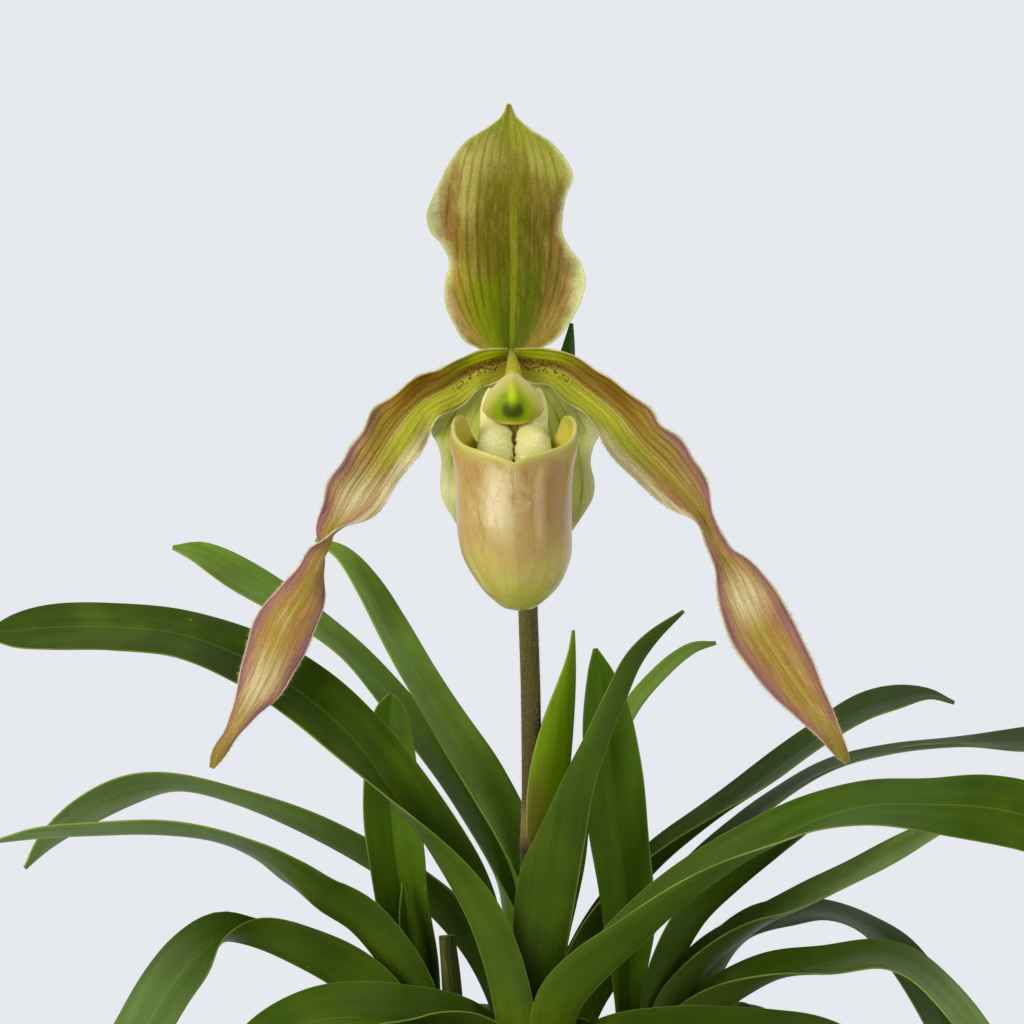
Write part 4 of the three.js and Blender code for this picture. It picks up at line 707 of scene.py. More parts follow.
SYNSEPAL_PATCHES = (
    ("#a3b050", 0.0, 0.7, 0.1, 0.4, 0.7), ("#aeb258", 0.65, 0.5, 0.3, 0.5, 0.6),
    ("#c8cf82", 0.0, 1.6, 0.6, 0.3, 0.5),
)
STAMINODE_ROWS = [[-7.1, y, z, half, half, -16, 90, -16] for z, y, half in (
    (259.7, -28.8, 1), (258.7, -29.6, 2.8), (257.2, -30.4, 4.4), (255.6, -30.9, 5.6),
    (254, -31.3, 6.4), (252.4, -31.5, 6.8), (251.3, -31.4, 6.6), (250.4, -31.1, 5.9),
    (249.8, -30.9, 5), (249.3, -30.7, 4), (249, -30.6, 3))]
COLUMN_ROWS = [
    [-7.3, -16.4, 263.9, 0.8], [-7.2, -18.4, 263.4, 0.9], [-7.1, -21.4, 262.4, 1.15],
    [-7, -24.8, 260.6, 1.6], [-7, -27.4, 257, 2.4],
]
POUCH = {"x": -6.85, "y": -37, "wall": 1.1, "around": 112, "levels": 44}
# Each row: the height, then the half width and the reach to the front and to the back
POUCH_ROWS = [
    [208.8, 0.6, 0.6, 0.6], [209.3, 3, 3.2, 2.8], [211, 5.4, 6.6, 5.4], [213.5, 8, 9.6, 7.4],
    [217, 10.2, 12.1, 8.8], [221, 11.8, 13.3, 9.6], [226, 12.3, 13.8, 10], [231, 12.4, 13.9, 10],
    [236, 12.5, 13.9, 10], [240, 12.9, 14, 10], [244, 13.7, 14.1, 10], [247, 13.7, 14.2, 10],
    [249.5, 12.7, 14.2, 10], [252, 10.8, 14.2, 10],
]
# The rim's height by the angle from the front in degrees, alike on both sides
RIM = [
    [0, 240], [12, 241.2], [32, 242.6], [50, 243.8], [64, 245.6], [76, 248], [88, 249.5], [104, 250.2],
    [120, 249.9], [132, 248], [142, 245], [152, 243.6], [166, 247], [180, 251],
]
# Each row of an infolded lobe: its height, its depth and its outer and inner distance from the middle.
# Bowed as it is, a lobe spans a little less than twice its half width
LOBE_SPAN = 1.82
LOBE_ROWS = [
    [238.6, -37.6, 7.6, 0.8], [241, -37, 7.9, 0.4], [243.6, -35.6, 7.9, 0.3], [245.8, -33.6, 7.7, 0.5],
    [247.4, -31.4, 7.5, 0.8], [249, -28.6, 7.4, 1.5], [251.2, -26.8, 7.3, 2.8], [253.4, -25.8, 7, 3.8],
    [255.2, -25, 6.3, 4.4], [256.6, -24.4, 5.4, 4.8],
]


def boss(share, lane):
    """A ridge down the shield's middle, between two hollows low on it."""
    ridge = 0.4 * bump(lane, 0, 0.2) * bump(share, 0.42, 0.3)
    return ridge - 0.3 * bump(np.abs(lane), 0.34, 0.24) * bump(share, 0.72, 0.18)


def pouch_rings():
    """Rings of the pouch's outer wall up to the rolled rim, then of its inner wall back down."""
    bottom = POUCH_ROWS[0][0]
    keel_foot, toe_top, taper = 213, 227, 12
    fine = np.linspace(0, 1, 1200)
    shape = smooth(POUCH_ROWS, fine)
    edge = smooth([[turn, 0, 0, z] for turn, z in RIM], fine)
    turn = np.linspace(0, 2 * math.pi, POUCH["around"], endpoint=False)
    degrees = np.degrees(np.minimum(turn, 2 * math.pi - turn))
    top = np.interp(degrees, edge[:, 0], edge[:, 3]) - bottom
    # The front is drawn out to a low keel, which fades towards the toe
    keel = 0.7 * np.exp(-degrees / 16)

    def ring(share, inset, curl, rise=0.0):
        height = bottom + inset + (top - inset) * share
        wide, front, back = (np.maximum(np.interp(height, shape[:, 0], shape[:, k]) - inset + curl, 0.4)
                             for k in (1, 2, 3))
        keeled = front + keel * np.clip((height - keel_foot) / taper, 0, 1)
        deep = np.where(np.cos(turn) > 0, keeled, back)
        toe = 1.1 * np.clip((toe_top - height) / taper, 0, 1)
        return np.stack([POUCH["x"] + toe + wide * np.sin(turn), POUCH["y"] - deep * np.cos(turn),
                         height + rise], axis=1)

    wall = POUCH["wall"]
    levels = (np.arange(POUCH["levels"] + 1) / POUCH["levels"]) ** 1.2
    lip = 0.5 * np.clip((levels - 0.94) / 0.06, 0, 1) ** 2
    outer = [ring(level, 0, rise) for level, rise in zip(levels, lip)]
    inner = [ring(level, wall, rise) for level, rise in zip(levels[::-1], lip[::-1])]
    roll = [ring(1, wall / 2 * (1 - math.cos(turned)), lip[-1], wall / 2 * math.sin(turned))
            for turned in np.linspace(0, math.pi, 7)[1:-1]]
    return outer + roll + inner


def flower_blade(name, lean, rows, slot, material, ruffle, steps=120, strips=36, relief=None,
                 veined=None):
    """A sepal or petal that stands for the node of its name."""
    skin = add_blade(Skin(), rows, lean, steps, strips, PETAL_THICKNESS, ruffle=ruffle, margin=0.4,
                     relief=relief, veined=veined)
    return stand_in(name, skin, slot, material)


def dorsal_ruffle(share, side):
    """The dorsal sepal's margins curl forward on its lobes and back between them, in mm."""
    margin = np.abs(side) ** 3
    right = 1.2 * bump(share, 0.22, 0.1) - 2.6 * bump(share, 0.55, 0.1)
    left = 1.4 * bump(share, 0.56, 0.1) - 2.4 * bump(share, 0.34, 0.08)
    return margin * np.where(side > 0, right, left)


def synsepal_ruffle(share, side):
    """Even waves along the synsepal's margins, in mm."""
    return np.abs(side) ** 3 * 1.1 * np.sin(share * 21)


def petal_ruffle(share, side):
    """Uneven waves along a petal's margins, strongest near its base, in mm."""
    near = np.clip(1.3 - 1.2 * share, 0.3, 1)
    wave = np.sin(share * 66 + 1.4 * side) + 0.5 * np.sin(share * 41 + 2 * side)
    return np.where(side > 0, 0.9, -0.8) * side ** 2 * near * wave


def petal_rows(table):
    """A petal's rows, made closer so that its margins can wave in and out, most near its base."""
    shares = np.linspace(0, 1, 90)
    rows = smooth([[x, y, z, half, half, fold, turn, 8] for x, y, z, half, fold, turn in table], shares)
    wave = 0.07 * np.clip(1.4 - 2.2 * shares, 0.1, 1) * np.clip(shares * 8, 0, 1)
    rows[:, 3] *= 1 + wave * (np.sin(shares * 78) + 0.5 * np.sin(shares * 47 + 1))
    rows[:, 4] *= 1 + wave * (np.sin(shares * 44 + 2) + 0.4 * np.sin(shares * 71))
    return rows.tolist()


def vein_relief(count, depth):
    """Low ridges along the veins, and a groove down the middle."""
    def relief(share, lane):
        ridge = np.clip(np.cos(lane * count * math.pi), 0, 1) ** 2
        return depth * ridge * np.clip(1 - lane ** 2, 0, 1) - 2.4 * depth * bump(lane, 0, 0.05)
    return relief


def oval(widest):
    """The half width in mm that the veins of an oval sepal fan out over, by share of its length."""
    return lambda share: widest * np.sqrt(np.clip(1 - (2 * share - 1) ** 2, 0.03, 1))


def sepal_tissue(name, ground, patches, tones, vein_count=15, vein_strength=0.6, vein_width=0.8,
                 mottle=1.0):
    """Sepal tissue: soft patches of colour drawn out along ragged veins, and a pale rim."""
    finish = Finish(name, ground, 0.55, **{"Specular IOR Level": 0.05})
    share, side, inner, lane = (finish.marks[mark] for mark in Skin.MARKS)
    span = finish.reckon("ABSOLUTE", side)
    streak = finish.grain(1.5, stretch=(1, 0.14, 1), flat=True)
    across = finish.plus(lane, finish.swing(streak, 0.4))
    along = finish.plus(share, finish.swing(finish.grain(6, stretch=(1, 1, 0.6)), 0.4))
    for code, lane_at, lane_reach, share_at, share_reach, strength in patches:
        mask = finish.times(finish.away(across, lane_at, lane_reach),
                            finish.away(along, share_at, share_reach))
        finish.tint(code, finish.fade(mask, 0.0, 0.75, 0, strength))
    # Pale streaks lie between the veins, 0.9 mm wide
    pale = finish.fade(finish.grain(0.9, stretch=(1, 0.2, 1), flat=True), 0.42, 0.75, 0, 0.11 * mottle)
    finish.tint(tones["edge"], pale, finish.fade(share, 0.1, 0.5, 0.25, 1))
    # Veins run from base to tip, in one colour below and another above
    stripe = finish.times(veins(finish, vein_count, vein_width, 0.05), finish.fade(span, 0.96, 0.78))
    patchy = finish.fade(finish.grain(3, stretch=(1, 1, 0.3)), 0.3, 0.65,
                         0.35 * vein_strength, vein_strength)
    finish.tint(tones["vein"], stripe, finish.fade(share, 0.8, 0.5), patchy,
                finish.fade(share, 0.0, 0.25, 0.2, 1))
    upper = finish.times(finish.fade(share, 0.5, 0.7), finish.fade(share, 0.97, 0.85))
    finish.tint(tones["high_vein"], stripe, upper, patchy)
    finish.tint(tones["groove"], finish.fade(finish.reckon("ABSOLUTE", lane), 0.03, 0.0),
                finish.fade(share, 0.6, 0.15, 0, 0.8))
    # The rim is pale, and widest on the lobes of the margin
    lobes = finish.plus(finish.times(finish.away(share, 0.55, 0.2), finish.fade(side, 0, -0.6)),
                        finish.times(finish.away(share, 0.26, 0.2), finish.fade(side, 0, 0.6)))
    ragged = finish.plus(finish.times(finish.grain(3), 0.2), finish.times(lobes, 0.11))
    finish.tint(tones["edge"], finish.fade(finish.plus(span, ragged), 0.94, 1.2))
    finish.tint(tones["edge"], finish.fade(span, 0.93, 1.0, 0, 0.85))
    finish.tint(tones["edge"], finish.fade(share, 0.03, 0.0, 0, 0.5))
    finish.tint(tones["edge"], finish.fade(inner, 0.6, 0.4, 0, 0.4))
    finish.shade(streak, 0.1)
    finish.shade(finish.grain(0.35, detail=1.0), 0.16 * mottle)
    finish.raise_by(finish.grain(0.5), 0.08)
    finish.raise_by(streak, 0.12)
    return finish.done(0.8)


def petal_tissue(name, painted_highlight_places):
    """Petal tissue: olive and brown near the base, gold with rose flanks beyond, pale at its edge."""
    finish = Finish(name, "#9a8434", 0.5, **{"Specular IOR Level": 0.06})
    share, side = finish.marks["share"], finish.marks["side"]
    span = finish.reckon("ABSOLUTE", side)
    streak = finish.grain(1.6, stretch=(1, 0.05, 1), flat=True)
    fine = finish.grain(0.6, stretch=(1, 0.05, 1), flat=True)
    drift = finish.swing(streak, 0.6)
    place, outer = finish.plus(side, drift), finish.plus(span, drift)
    # The first third is yellow green on one side of the midvein and brown in fine lines on the other
    finish.tint("#9c9f2e", finish.fade(side, 0.08, -0.12), finish.fade(share, 0.4, 0.28))
    line = finish.fade(finish.grain(0.9, stretch=(1, 0.03, 1), flat=True), 0.3, 0.6, 0.45, 1)
    finish.tint("#6e4e02", finish.fade(place, -0.02, 0.24), finish.fade(share, 0.33, 0.18), line)
    finish.tint("#7c8604", finish.fade(place, 0.2, 0.5), finish.fade(share, 0.15, 0.06))
    # Painted shade: beside the column the tissue is darkened to olive, where it lies in the column's shade
    finish.tint("#6a5c06", finish.fade(share, 0.075, 0.02, 0, 0.75), finish.fade(place, 0.2, -0.2))
    # Beyond the first third the flanks turn dusty rose, most towards the margins
    cloud = finish.fade(finish.grain(5, stretch=(1, 0.5, 1), flat=True), 0.3, 0.62, 0.45, 1)
    finish.tint("#996a52", finish.fade(outer, 0.05, 0.7, 0.15, 0.85),
                finish.fade(share, 0.24, 0.42), cloud)
    finish.tint("#80566c", finish.away(outer, 0.88, 0.28),
                finish.fade(share, 0.18, 0.38, 0, 0.85), cloud)
    # Painted highlights: cream patches over the middle of the blade and at given places along it; a cream
    # band lies near the lower margin, and the tip is plain olive
    soft = finish.fade(finish.grain(5, stretch=(1, 0.3, 1), flat=True), 0.5, 0.7)
    finish.tint("#cdbd90", soft, finish.fade(span, 0.8, 0.3), finish.fade(share, 0.16, 0.4, 0.1, 0.3))
    hem = finish.times(finish.fade(place, -0.5, -0.85), finish.away(share, 0.36, 0.2))
    finish.tint("#ccc294", finish.fade(hem, 0, 0.6, 0, 0.75))
    for centre, breadth in painted_highlight_places:
        finish.tint("#d0c49c", finish.away(share, centre, breadth), finish.fade(outer, 0.85, 0.2),
                    finish.fade(fine, 0.3, 0.6, 0.35, 0.75))
    finish.tint("#857430", finish.fade(share, 0.9, 0.97, 0, 0.8))
    # Nine dark veins lie on each side of a pale midvein
    stripe = veins(finish, 9, 0.45, 0.06)
    finish.tint("#503408", stripe, finish.fade(side, -0.2, 0.2, 0.35, 1),
                finish.fade(share, 0.5, 0.35, 0.12, 0.4))
    finish.tint("#c3be70", finish.away(side, 0.0, 0.05), finish.fade(share, 0.5, 0.3, 0.3, 0.6))
    finish.tint("#c4bc8c", finish.fade(span, 0.93, 0.99, 0, 0.85))
    # Hair-bearing dark spots stand in two bands beside the midvein, near the base
    stretched = add_node(finish.tree, "ShaderNodeVectorMath", {0: finish.flat, 1: (0.55, 1.0, 1.0)},
                         operation="MULTIPLY")
    dots = finish.specks(0.42, 0.56, 0.3, place=stretched.outputs[0])
    for code, centre, breadth, where, reach in (("#3c1f04", -0.2, 0.3, 0.065, 0.1),
                                                ("#4a2606", 0.22, 0.3, 0.04, 0.08)):
        band = finish.times(finish.away(side, centre, breadth), finish.away(share, where, reach))
        finish.tint(code, dots, finish.fade(band, 0, 0.5, 0, 0.85))
    finish.shade(streak, 0.14)
    finish.shade(fine, 0.14)
    finish.shade(finish.grain(0.45, detail=2.0), 0.12)
    finish.raise_by(finish.grain(0.5), 0.06)
    finish.raise_by(fine, 0.1)
    finish.raise_by(stripe, 0.08)
    return finish.done(0.8)


def pouch_tissue():
    """Pouch tissue: a waxy, glossy tan skin over green, with a painted cream highlight in front and faint
    reddish veins.
    """
    finish = Finish("waxy_pouch", "#a88a44", 0.45, **{"Specular IOR Level": 0.2, "Coat Weight": 0.85,
                                                    "Coat Roughness": 0.27, "Coat IOR": 1.55})
    share, side = finish.marks["share"], finish.marks["side"]
    place = add_node(finish.tree, "ShaderNodeSeparateXYZ", {0: finish.place})
    east, height = place.outputs[0], place.outputs[2]

    def level(start, end, low=0.0, high=1.0):
        return finish.fade(height, start * MM, end * MM, low, high)

    cloud = finish.grain(7, stretch=(1, 1, 0.5))
    low = finish.plus(height, finish.times(cloud, 20 * MM))
    finish.tint("#adab44", finish.fade(low, 235 * MM, 218 * MM))
    finish.tint("#906a36", finish.fade(cloud, 0.42, 0.7, 0, 0.5), level(216, 228))
    # Painted shade: the right flank is darker tan, turned away from the key lamp
    flank = finish.times(finish.away(east, 3 * MM, 6 * MM), finish.away(height, 233 * MM, 16 * MM))
    finish.tint("#8e6c26", finish.fade(flank, 0, 0.7, 0, 0.6))
    # Painted highlight: a ragged cream patch left of the keel, where the key lamp's reflection falls
    ragged = finish.swing(finish.grain(3), 12 * MM)
    front = finish.times(finish.away(finish.plus(east, ragged), -9.5 * MM, 8 * MM),
                         finish.away(finish.plus(height, ragged), 231 * MM, 13 * MM))
    finish.tint("#b8ab7c", finish.fade(front, 0, 0.8, 0, 0.7))
    # Faint veins run down from the rim and branch below it
    net = finish.away(finish.grain(2.6, stretch=(1, 1, 0.28), detail=2.0), 0.5, 0.03)
    finish.tint("#8a5428", net, level(225, 240, 0.35, 1), 0.4)
    stripe = veins(finish, 20, 0.2, 0.1)
    faint = finish.times(finish.fade(finish.grain(5), 0.4, 0.65), level(220, 228))
    finish.tint("#8a5a2a", stripe, faint, 0.45)
    finish.tint("#8f8c26", stripe, finish.times(level(211, 217), level(230, 222)), 0.5)
    # A soft line marks the keel: pale above, as a painted highlight where the keel catches the light, and
    # olive towards the toe
    finish.tint("#c8b878", finish.away(side, -1.0, 0.05), level(226, 236, 0, 0.35))
    finish.tint("#8a8030", finish.away(side, -1.0, 0.016), level(228, 218, 0, 0.4))
    # The rolled rim is olive yellow, and the inside plain yellow
    finish.tint("#aaa03c", level(238.5, 243), finish.fade(share, 0.4, 0.47, 0, 0.9))
    finish.tint("#b4af48", finish.fade(share, 0.45, 0.475), finish.fade(share, 0.53, 0.52))
    finish.tint("#c0b63c", finish.fade(share, 0.53, 0.56))
    finish.shade(finish.grain(0.6), 0.05)
    # The skin is finely wrinkled below the rim
    finish.raise_by(finish.times(finish.grain(1.5, stretch=(1, 1, 0.55)), level(224, 238)), 0.3)
    finish.raise_by(finish.grain(2.4, stretch=(1, 1, 0.3)), 0.16)
    finish.raise_by(finish.grain(5), 0.3)
    finish.raise_by(net, -0.06)
    return finish.done(0.6)


def lobe_tissue():
    """The infolded lobes: smooth cream wax with tiny golden spots and bright grainy specks painted as
    glints.
    """
    finish = Finish("cream_lobe", "#d6d388", 0.35, **{"Coat Weight": 0.4, "Coat Roughness": 0.15})
    share, side = finish.marks["share"], finish.marks["side"]
    # The spots stand about 0.7 mm apart
    pitted = finish.times(finish.specks(0.7, 0.45, 0.15), finish.fade(finish.grain(4), 0.4, 0.6))
    finish.tint("#b09a3c", pitted, 0.3)
    finish.tint("#a9a63c", finish.fade(finish.reckon("ABSOLUTE", side), 0.8, 1.0, 0, 0.7),
                finish.fade(share, 0.5, 0.4))
    finish.tint("#aaa84a", finish.fade(share, 0.22, 0.0, 0, 0.7))
    # Painted glints: bright grainy specks where the waxy lobes glisten
    glint_specks = finish.fade(finish.grain(0.45, detail=1.0), 0.56, 0.66)
    finish.tint("#f6f4dc", glint_specks, finish.away(share, 0.36, 0.3),
                finish.fade(finish.grain(3), 0.42, 0.6), 0.9)
    finish.raise_by(finish.reckon("SUBTRACT", 1.0, pitted), 0.05)
    return finish.done()


def staminode_tissue():
    """The shield: pale shoulders, a lime ridge and a deep green hollow low down."""
    finish = Finish("green_shield", "#bab072", 0.5, **{"Specular IOR Level": 0.1})
    share, side = finish.marks["share"], finish.marks["side"]
    span = finish.reckon("ABSOLUTE", side)
    # Green spreads unevenly from a point low on the shield
    rise = finish.reckon("SUBTRACT", share, 0.68)
    spread = finish.plus(finish.times(finish.reckon("POWER", span, 2.0), 2.0),
                         finish.times(rise, rise, 5.5))
    loose = finish.plus(spread, finish.times(finish.grain(0.9), 0.5))
    finish.tint("#a3a63c", finish.fade(loose, 2.7, 1.1, 0, 0.85))
    finish.tint("#8b920c", finish.fade(share, 0.5, 0.8), finish.fade(span, 1.0, 0.6, 0, 0.85))
    finish.tint("#7a9400", finish.fade(loose, 1.3, 0.5))
    hollows = finish.times(finish.fade(span, 0.5, 0.12), finish.away(share, 0.73, 0.25),
                           finish.fade(finish.grain(0.6), 0.2, 0.6, 0.7, 1))
    finish.tint("#3c4e00", finish.fade(hollows, 0, 0.75))
    finish.tint("#b8c61c", finish.fade(span, 0.24, 0.0), finish.away(share, 0.46, 0.3), 0.9)
    finish.tint("#b3b042", finish.fade(share, 0.91, 0.97))
    finish.tint("#b99f80", finish.fade(span, 0.9, 1.0, 0, 0.6))
    finish.raise_by(finish.grain(0.8), 0.05)
    return finish.done()


def column_tissue():
    """The column's neck: yellow green, with a bloom of very short hairs."""
    finish = Finish("column_tissue", "#a39e1a", 0.6, **{"Specular IOR Level": 0.06})
    finish.tint("#bdb654", finish.fade(finish.grain(0.5), 0.45, 0.7, 0, 0.6))
    finish.tint("#7e820c", finish.fade(finish.grain(2), 0.48, 0.66, 0, 0.5))
    finish.tint("#8c9024", finish.fade(finish.marks["share"], 0.4, 0.15, 0, 0.7))
    finish.raise_by(finish.grain(0.4), 0.1)
    return finish.done()


class FlowerSizes(bpy.types.PropertyGroup):
    """How the flower is drawn."""

    hair: bpy.props.FloatProperty(
        name="Hair length", description="Length of the fine hairs on petal margins",
        default=0.8 * MM, unit="LENGTH")
    ground: bpy.props.StringProperty(
        name="Sepal ground", description="Sepal colour between the veins, as sRGB hex", default="#84742c")


class ORCHID_OT_sepals(bpy.types.Operator):
    """Raise the dorsal sepal and hang the synsepal"""

    bl_idname = "orchid.sepals"
    bl_label = "Sepals"

    def execute(self, context):
        striped = sepal_tissue(
            "striped_sepal", context.scene.orchid_flower.ground, DORSAL_PATCHES,
            {"vein": "#563c02", "high_vein": "#6a7410", "edge": "#bfc18e", "groove": "#36480a"})
        # The synsepal is pale green, and its ground is painted lighter still for the light that shines
        # through it
        pale = sepal_tissue(
            "pale_backlit_sepal", "#bcc45e", SYNSEPAL_PATCHES,
            {"vein": "#6f8a24", "high_vein": "#8a9c3c", "edge": "#d2d6a4", "groove": "#8da04a"},
            vein_count=13, vein_strength=1.0, vein_width=0.45, mottle=0.45)
        flower_blade("dorsal_sepal", 1, DORSAL_ROWS, "sepal", striped, dorsal_ruffle,
                     relief=vein_relief(15, 0.12), veined=oval(17.5))
        flower_blade("synsepal", -1, SYNSEPAL_ROWS, "sepal", pale, synsepal_ruffle,
                     relief=vein_relief(13, 0.12), veined=oval(19))
        return {"FINISHED"}


class ORCHID_OT_petals(bpy.types.Operator):
    """Hang the two twisted petals"""

    bl_idname = "orchid.petals"
    bl_label = "Petals"

    def execute(self, context):
        # Each petal's painted highlights lie at its own places along it
        for name, table, lean, painted_highlight_places in (
            ("petal_left", LEFT_PETAL, 1, ((0.42, 0.09), (0.82, 0.1))),
            ("petal_right", RIGHT_PETAL, -1, ((0.64, 0.08),)),
        ):
            tissue = petal_tissue(name + "_tissue", painted_highlight_places)
            flower_blade(name, lean, petal_rows(table), "petal", tissue, petal_ruffle, steps=260, strips=28,
                         relief=vein_relief(9, 0.1))
        return {"FINISHED"}


class ORCHID_OT_pouch(bpy.types.Operator):
    """Blow up the pouch with its rolled rim and fold in its cream lobes"""

    bl_idname = "orchid.pouch"
    bl_label = "Pouch"

    def execute(self, context):
        skin = add_rings(Skin(), pouch_rings())
        steps = np.linspace(0, 1, 60)
        for side in (-1, 1):
            table = [[POUCH["x"] + side * (outer + inner) / 2, y, z, (outer - inner) / LOBE_SPAN,
                      (outer - inner) / LOBE_SPAN, -22, 90, -40] for z, y, outer, inner in LOBE_ROWS]
            rows = smooth(table, steps)
            # The inner margin is crinkled, towards the slit between the lobes
            inner_margin = 3 if side < 0 else 4
            crinkle = np.sin(2.6 * rows[:, 2] + side) + 0.6 * np.sin(4.7 * rows[:, 2])
            rows[:, inner_margin] += 0.17 * crinkle * np.clip((251 - rows[:, 2]) / 3, 0, 1)
            add_blade(skin, rows.tolist(), 1, 90, 24, 1.2, margin=0.5, paint=1)
        stand_in("pouch", skin, "pouch", pouch_tissue(), lobe_tissue())
        return {"FINISHED"}


class ORCHID_OT_column(bpy.types.Operator):
    """Set the column and its shield"""

    bl_idname = "orchid.column"
    bl_label = "Column"

    def execute(self, context):
        neck = add_rings(Skin(), rod_rings(COLUMN_ROWS, 30, 32))
        stand_in("column", neck, "column", column_tissue())
        plate = add_blade(Skin(), STAMINODE_ROWS, -1, 60, 48, 1.2, margin=0.6, relief=boss)
        stand_in("staminode", plate, "column", staminode_tissue())
        return {"FINISHED"}


# The stem, its sheaths, the ovary and the hairs

# The stem's rows start where it leaves the crown of the front fan
STEM_ROWS = [[*at(-3.4, CROWN_TOP + 3, -8)[:2], CROWN_TOP + SEAT, STEM_RADIUS]] + [
    [*at(x, z, y), STEM_RADIUS] for x, z, y in (
        (-3.3, 130, -8), (-3.2, 157, -8), (-3, 170, -8), (-3.2, 190, -8), (-3.7, 206, -7.8),
        (-4.2, 224, -7.4))]
STEM_TOP = STEM_ROWS[-1][:3]
# The stem's ring, or node, stands at this height
NODE_HEIGHT = 157


def above_stem(x, y, z):
    """A point set off from the middle of the stem's top."""
    return [top + step for top, step in zip(STEM_TOP, (x, y, z))]


OVARY_ROWS = [[*above_stem(x, y, z), radius] for x, y, z, radius in (
    (0, 0, SEAT, 2), (-0.4, 1, 8, 2.2), (-1.4, 1.6, 18, 2.6), (-2.4, 0.8, 28, 2.7),
    (-3.1, -2, 35, 2.6))] + [[-7.5, -14.6, 261.6, 2.4]]
BRACT_ROWS = [[*above_stem(x, y, z), half, half, fold, -52, 26] for x, y, z, half, fold in (
    (2.5, 2.3, -3, 3.4, 60), (4.4, 4.4, 8, 5.2, 52), (7, 6.4, 20, 5.4, 44), (8.8, 7.4, 31, 4.4, 38),
    (9.8, 8, 40, 2.6, 34), (10, 8.4, 47.5, 0.4, 30))]
SHEATH_ROWS = [[*at(x, z, -8), half, half, fold, 0, 24] for x, z, half, fold in (
    (2.8, 157.5, 7.8, 66), (4.4, 166, 9.4, 66), (5.3, 175, 9.2, 64), (6, 184, 7.4, 60),
    (6.4, 192, 4.6, 56), (6.4, 199, 1.8, 52), (6.2, 204, 0.4, 50))]
OLD_SHEATH_ROWS = [base_row("left", -1, 6, 0)] + [
    [*at(x, z, 1.4), half, half, fold, 0, 56] for x, z, half, fold in (
        (-18, 114, 5.8, 48), (-18.8, 126, 5.4, 48), (-20.2, 137, 4.6, 46))]


def stem_skin():
    """The stem's hairy bark: dark olive brown, tan above its ring, with green streaks."""
    finish = Finish("hairy_stem", "#463c14", 0.7, **{"Specular IOR Level": 0.2, "Sheen Weight": 0.12})
    height = add_node(finish.tree, "ShaderNodeSeparateXYZ", {0: finish.place}).outputs[2]
    finish.tint("#565a18", finish.fade(finish.grain(2.2, stretch=(1, 1, 0.08)), 0.45, 0.75, 0, 0.7))
    finish.tint("#75623a", finish.away(height, (NODE_HEIGHT + 5) * MM, 6 * MM))
    finish.tint("#30260c", finish.fade(height, (NODE_HEIGHT + 0.4) * MM, (NODE_HEIGHT - 1) * MM, 0, 0.8))
    # Short hairs lie like frost over the dark skin, 0.35 mm apart
    frost = finish.grain(0.35, stretch=(1, 1, 0.35))
    finish.tint("#8f8050", finish.fade(frost, 0.58, 0.78, 0, 0.35))
    finish.raise_by(frost, 0.15)
    return finish.done()


def fresh_sheath(name, bright, dark):
    """A fresh sheath: smooth tissue that browns where it meets the stem, bright on one flank and darkened on
    the other as painted shade.
    """
    finish = Finish(name, bright, 0.42, **{"Specular IOR Level": 0.12})
    share, side = finish.marks["share"], finish.marks["side"]
    # Painted shade: the flank on the plus side is darkened, as if turned away from the light
    finish.tint(dark, finish.fade(side, -0.12, 0.16, 0, 0.9))
    low = finish.plus(share, finish.times(finish.grain(5), 0.3))
    finish.tint("#5f5f18", finish.fade(low, 0.66, 0.34), finish.fade(side, -0.3, -0.8, 0, 0.9))
    finish.shade(finish.grain(1.4, stretch=(1, 0.06, 1), flat=True), 0.14)
    finish.tint("#9aa44c", finish.fade(finish.reckon("ABSOLUTE", side), 0.95, 0.99, 0, 0.5))
    finish.raise_by(finish.grain(0.9, stretch=(1, 0.05, 1), flat=True), 0.06)
    return finish.done()


def dry_sheath():
    """A dead sheath: papery, pale grey green and fibrous, with small brown spots."""
    finish = Finish("dry_sheath", "#646a36", 0.8, **{"Specular IOR Level": 0.1})
    fibre = finish.grain(0.8, stretch=(1, 0.04, 1), flat=True)
    finish.tint("#474c1e", finish.fade(fibre, 0.4, 0.66))
    finish.tint("#7a4a30", finish.fade(finish.grain(2.2), 0.64, 0.7, 0, 0.7))
    finish.raise_by(fibre, 0.15)
    return finish.done()


def add_hairs(skin, roots, leans, length, radius):
    """Adds a tapering three-sided hair at each root, along its lean, bent a little at random."""
    draw = np.random.default_rng(11)
    count = len(roots)
    sunk = 0.12
    sizes = length * draw.uniform(0.6, 1.25, (count, 1))
    leans = unit(leans + draw.normal(0, 0.28, (count, 3)))
    side = unit(np.cross(leans, [0.31, 0.17, 0.93]))
    other = np.cross(leans, side)
    corners = [roots + radius * (side * math.cos(turn) + other * math.sin(turn)) - sunk * leans
               for turn in (0.0, 2 * math.pi / 3, 4 * math.pi / 3)]
    points = np.stack([*corners, roots + leans * sizes], axis=1).reshape(-1, 3)
    faces = [[4 * i + a for a in face] for i in range(count)
             for face in ((0, 1, 3), (1, 2, 3), (2, 0, 3), (2, 1, 0))]
    return skin.join(points, faces)


def hairs_on_rod(rows, count, seed):
    """Roots and directions of hairs scattered over a rod."""
    draw = np.random.default_rng(seed)
    shares, turn = draw.uniform(0.01, 0.99, count), draw.uniform(0, 2 * math.pi, count)
    row, tangent = smooth(rows, shares), tangents(rows, shares)
    across = unit(np.array([1.0, 0.0, 0.0]) - tangent * tangent[:, :1])
    out = across * np.cos(turn)[:, None] + np.cross(tangent, across) * np.sin(turn)[:, None]
    return row[:, :3] + out * row[:, 3:4], out + 0.25 * tangent


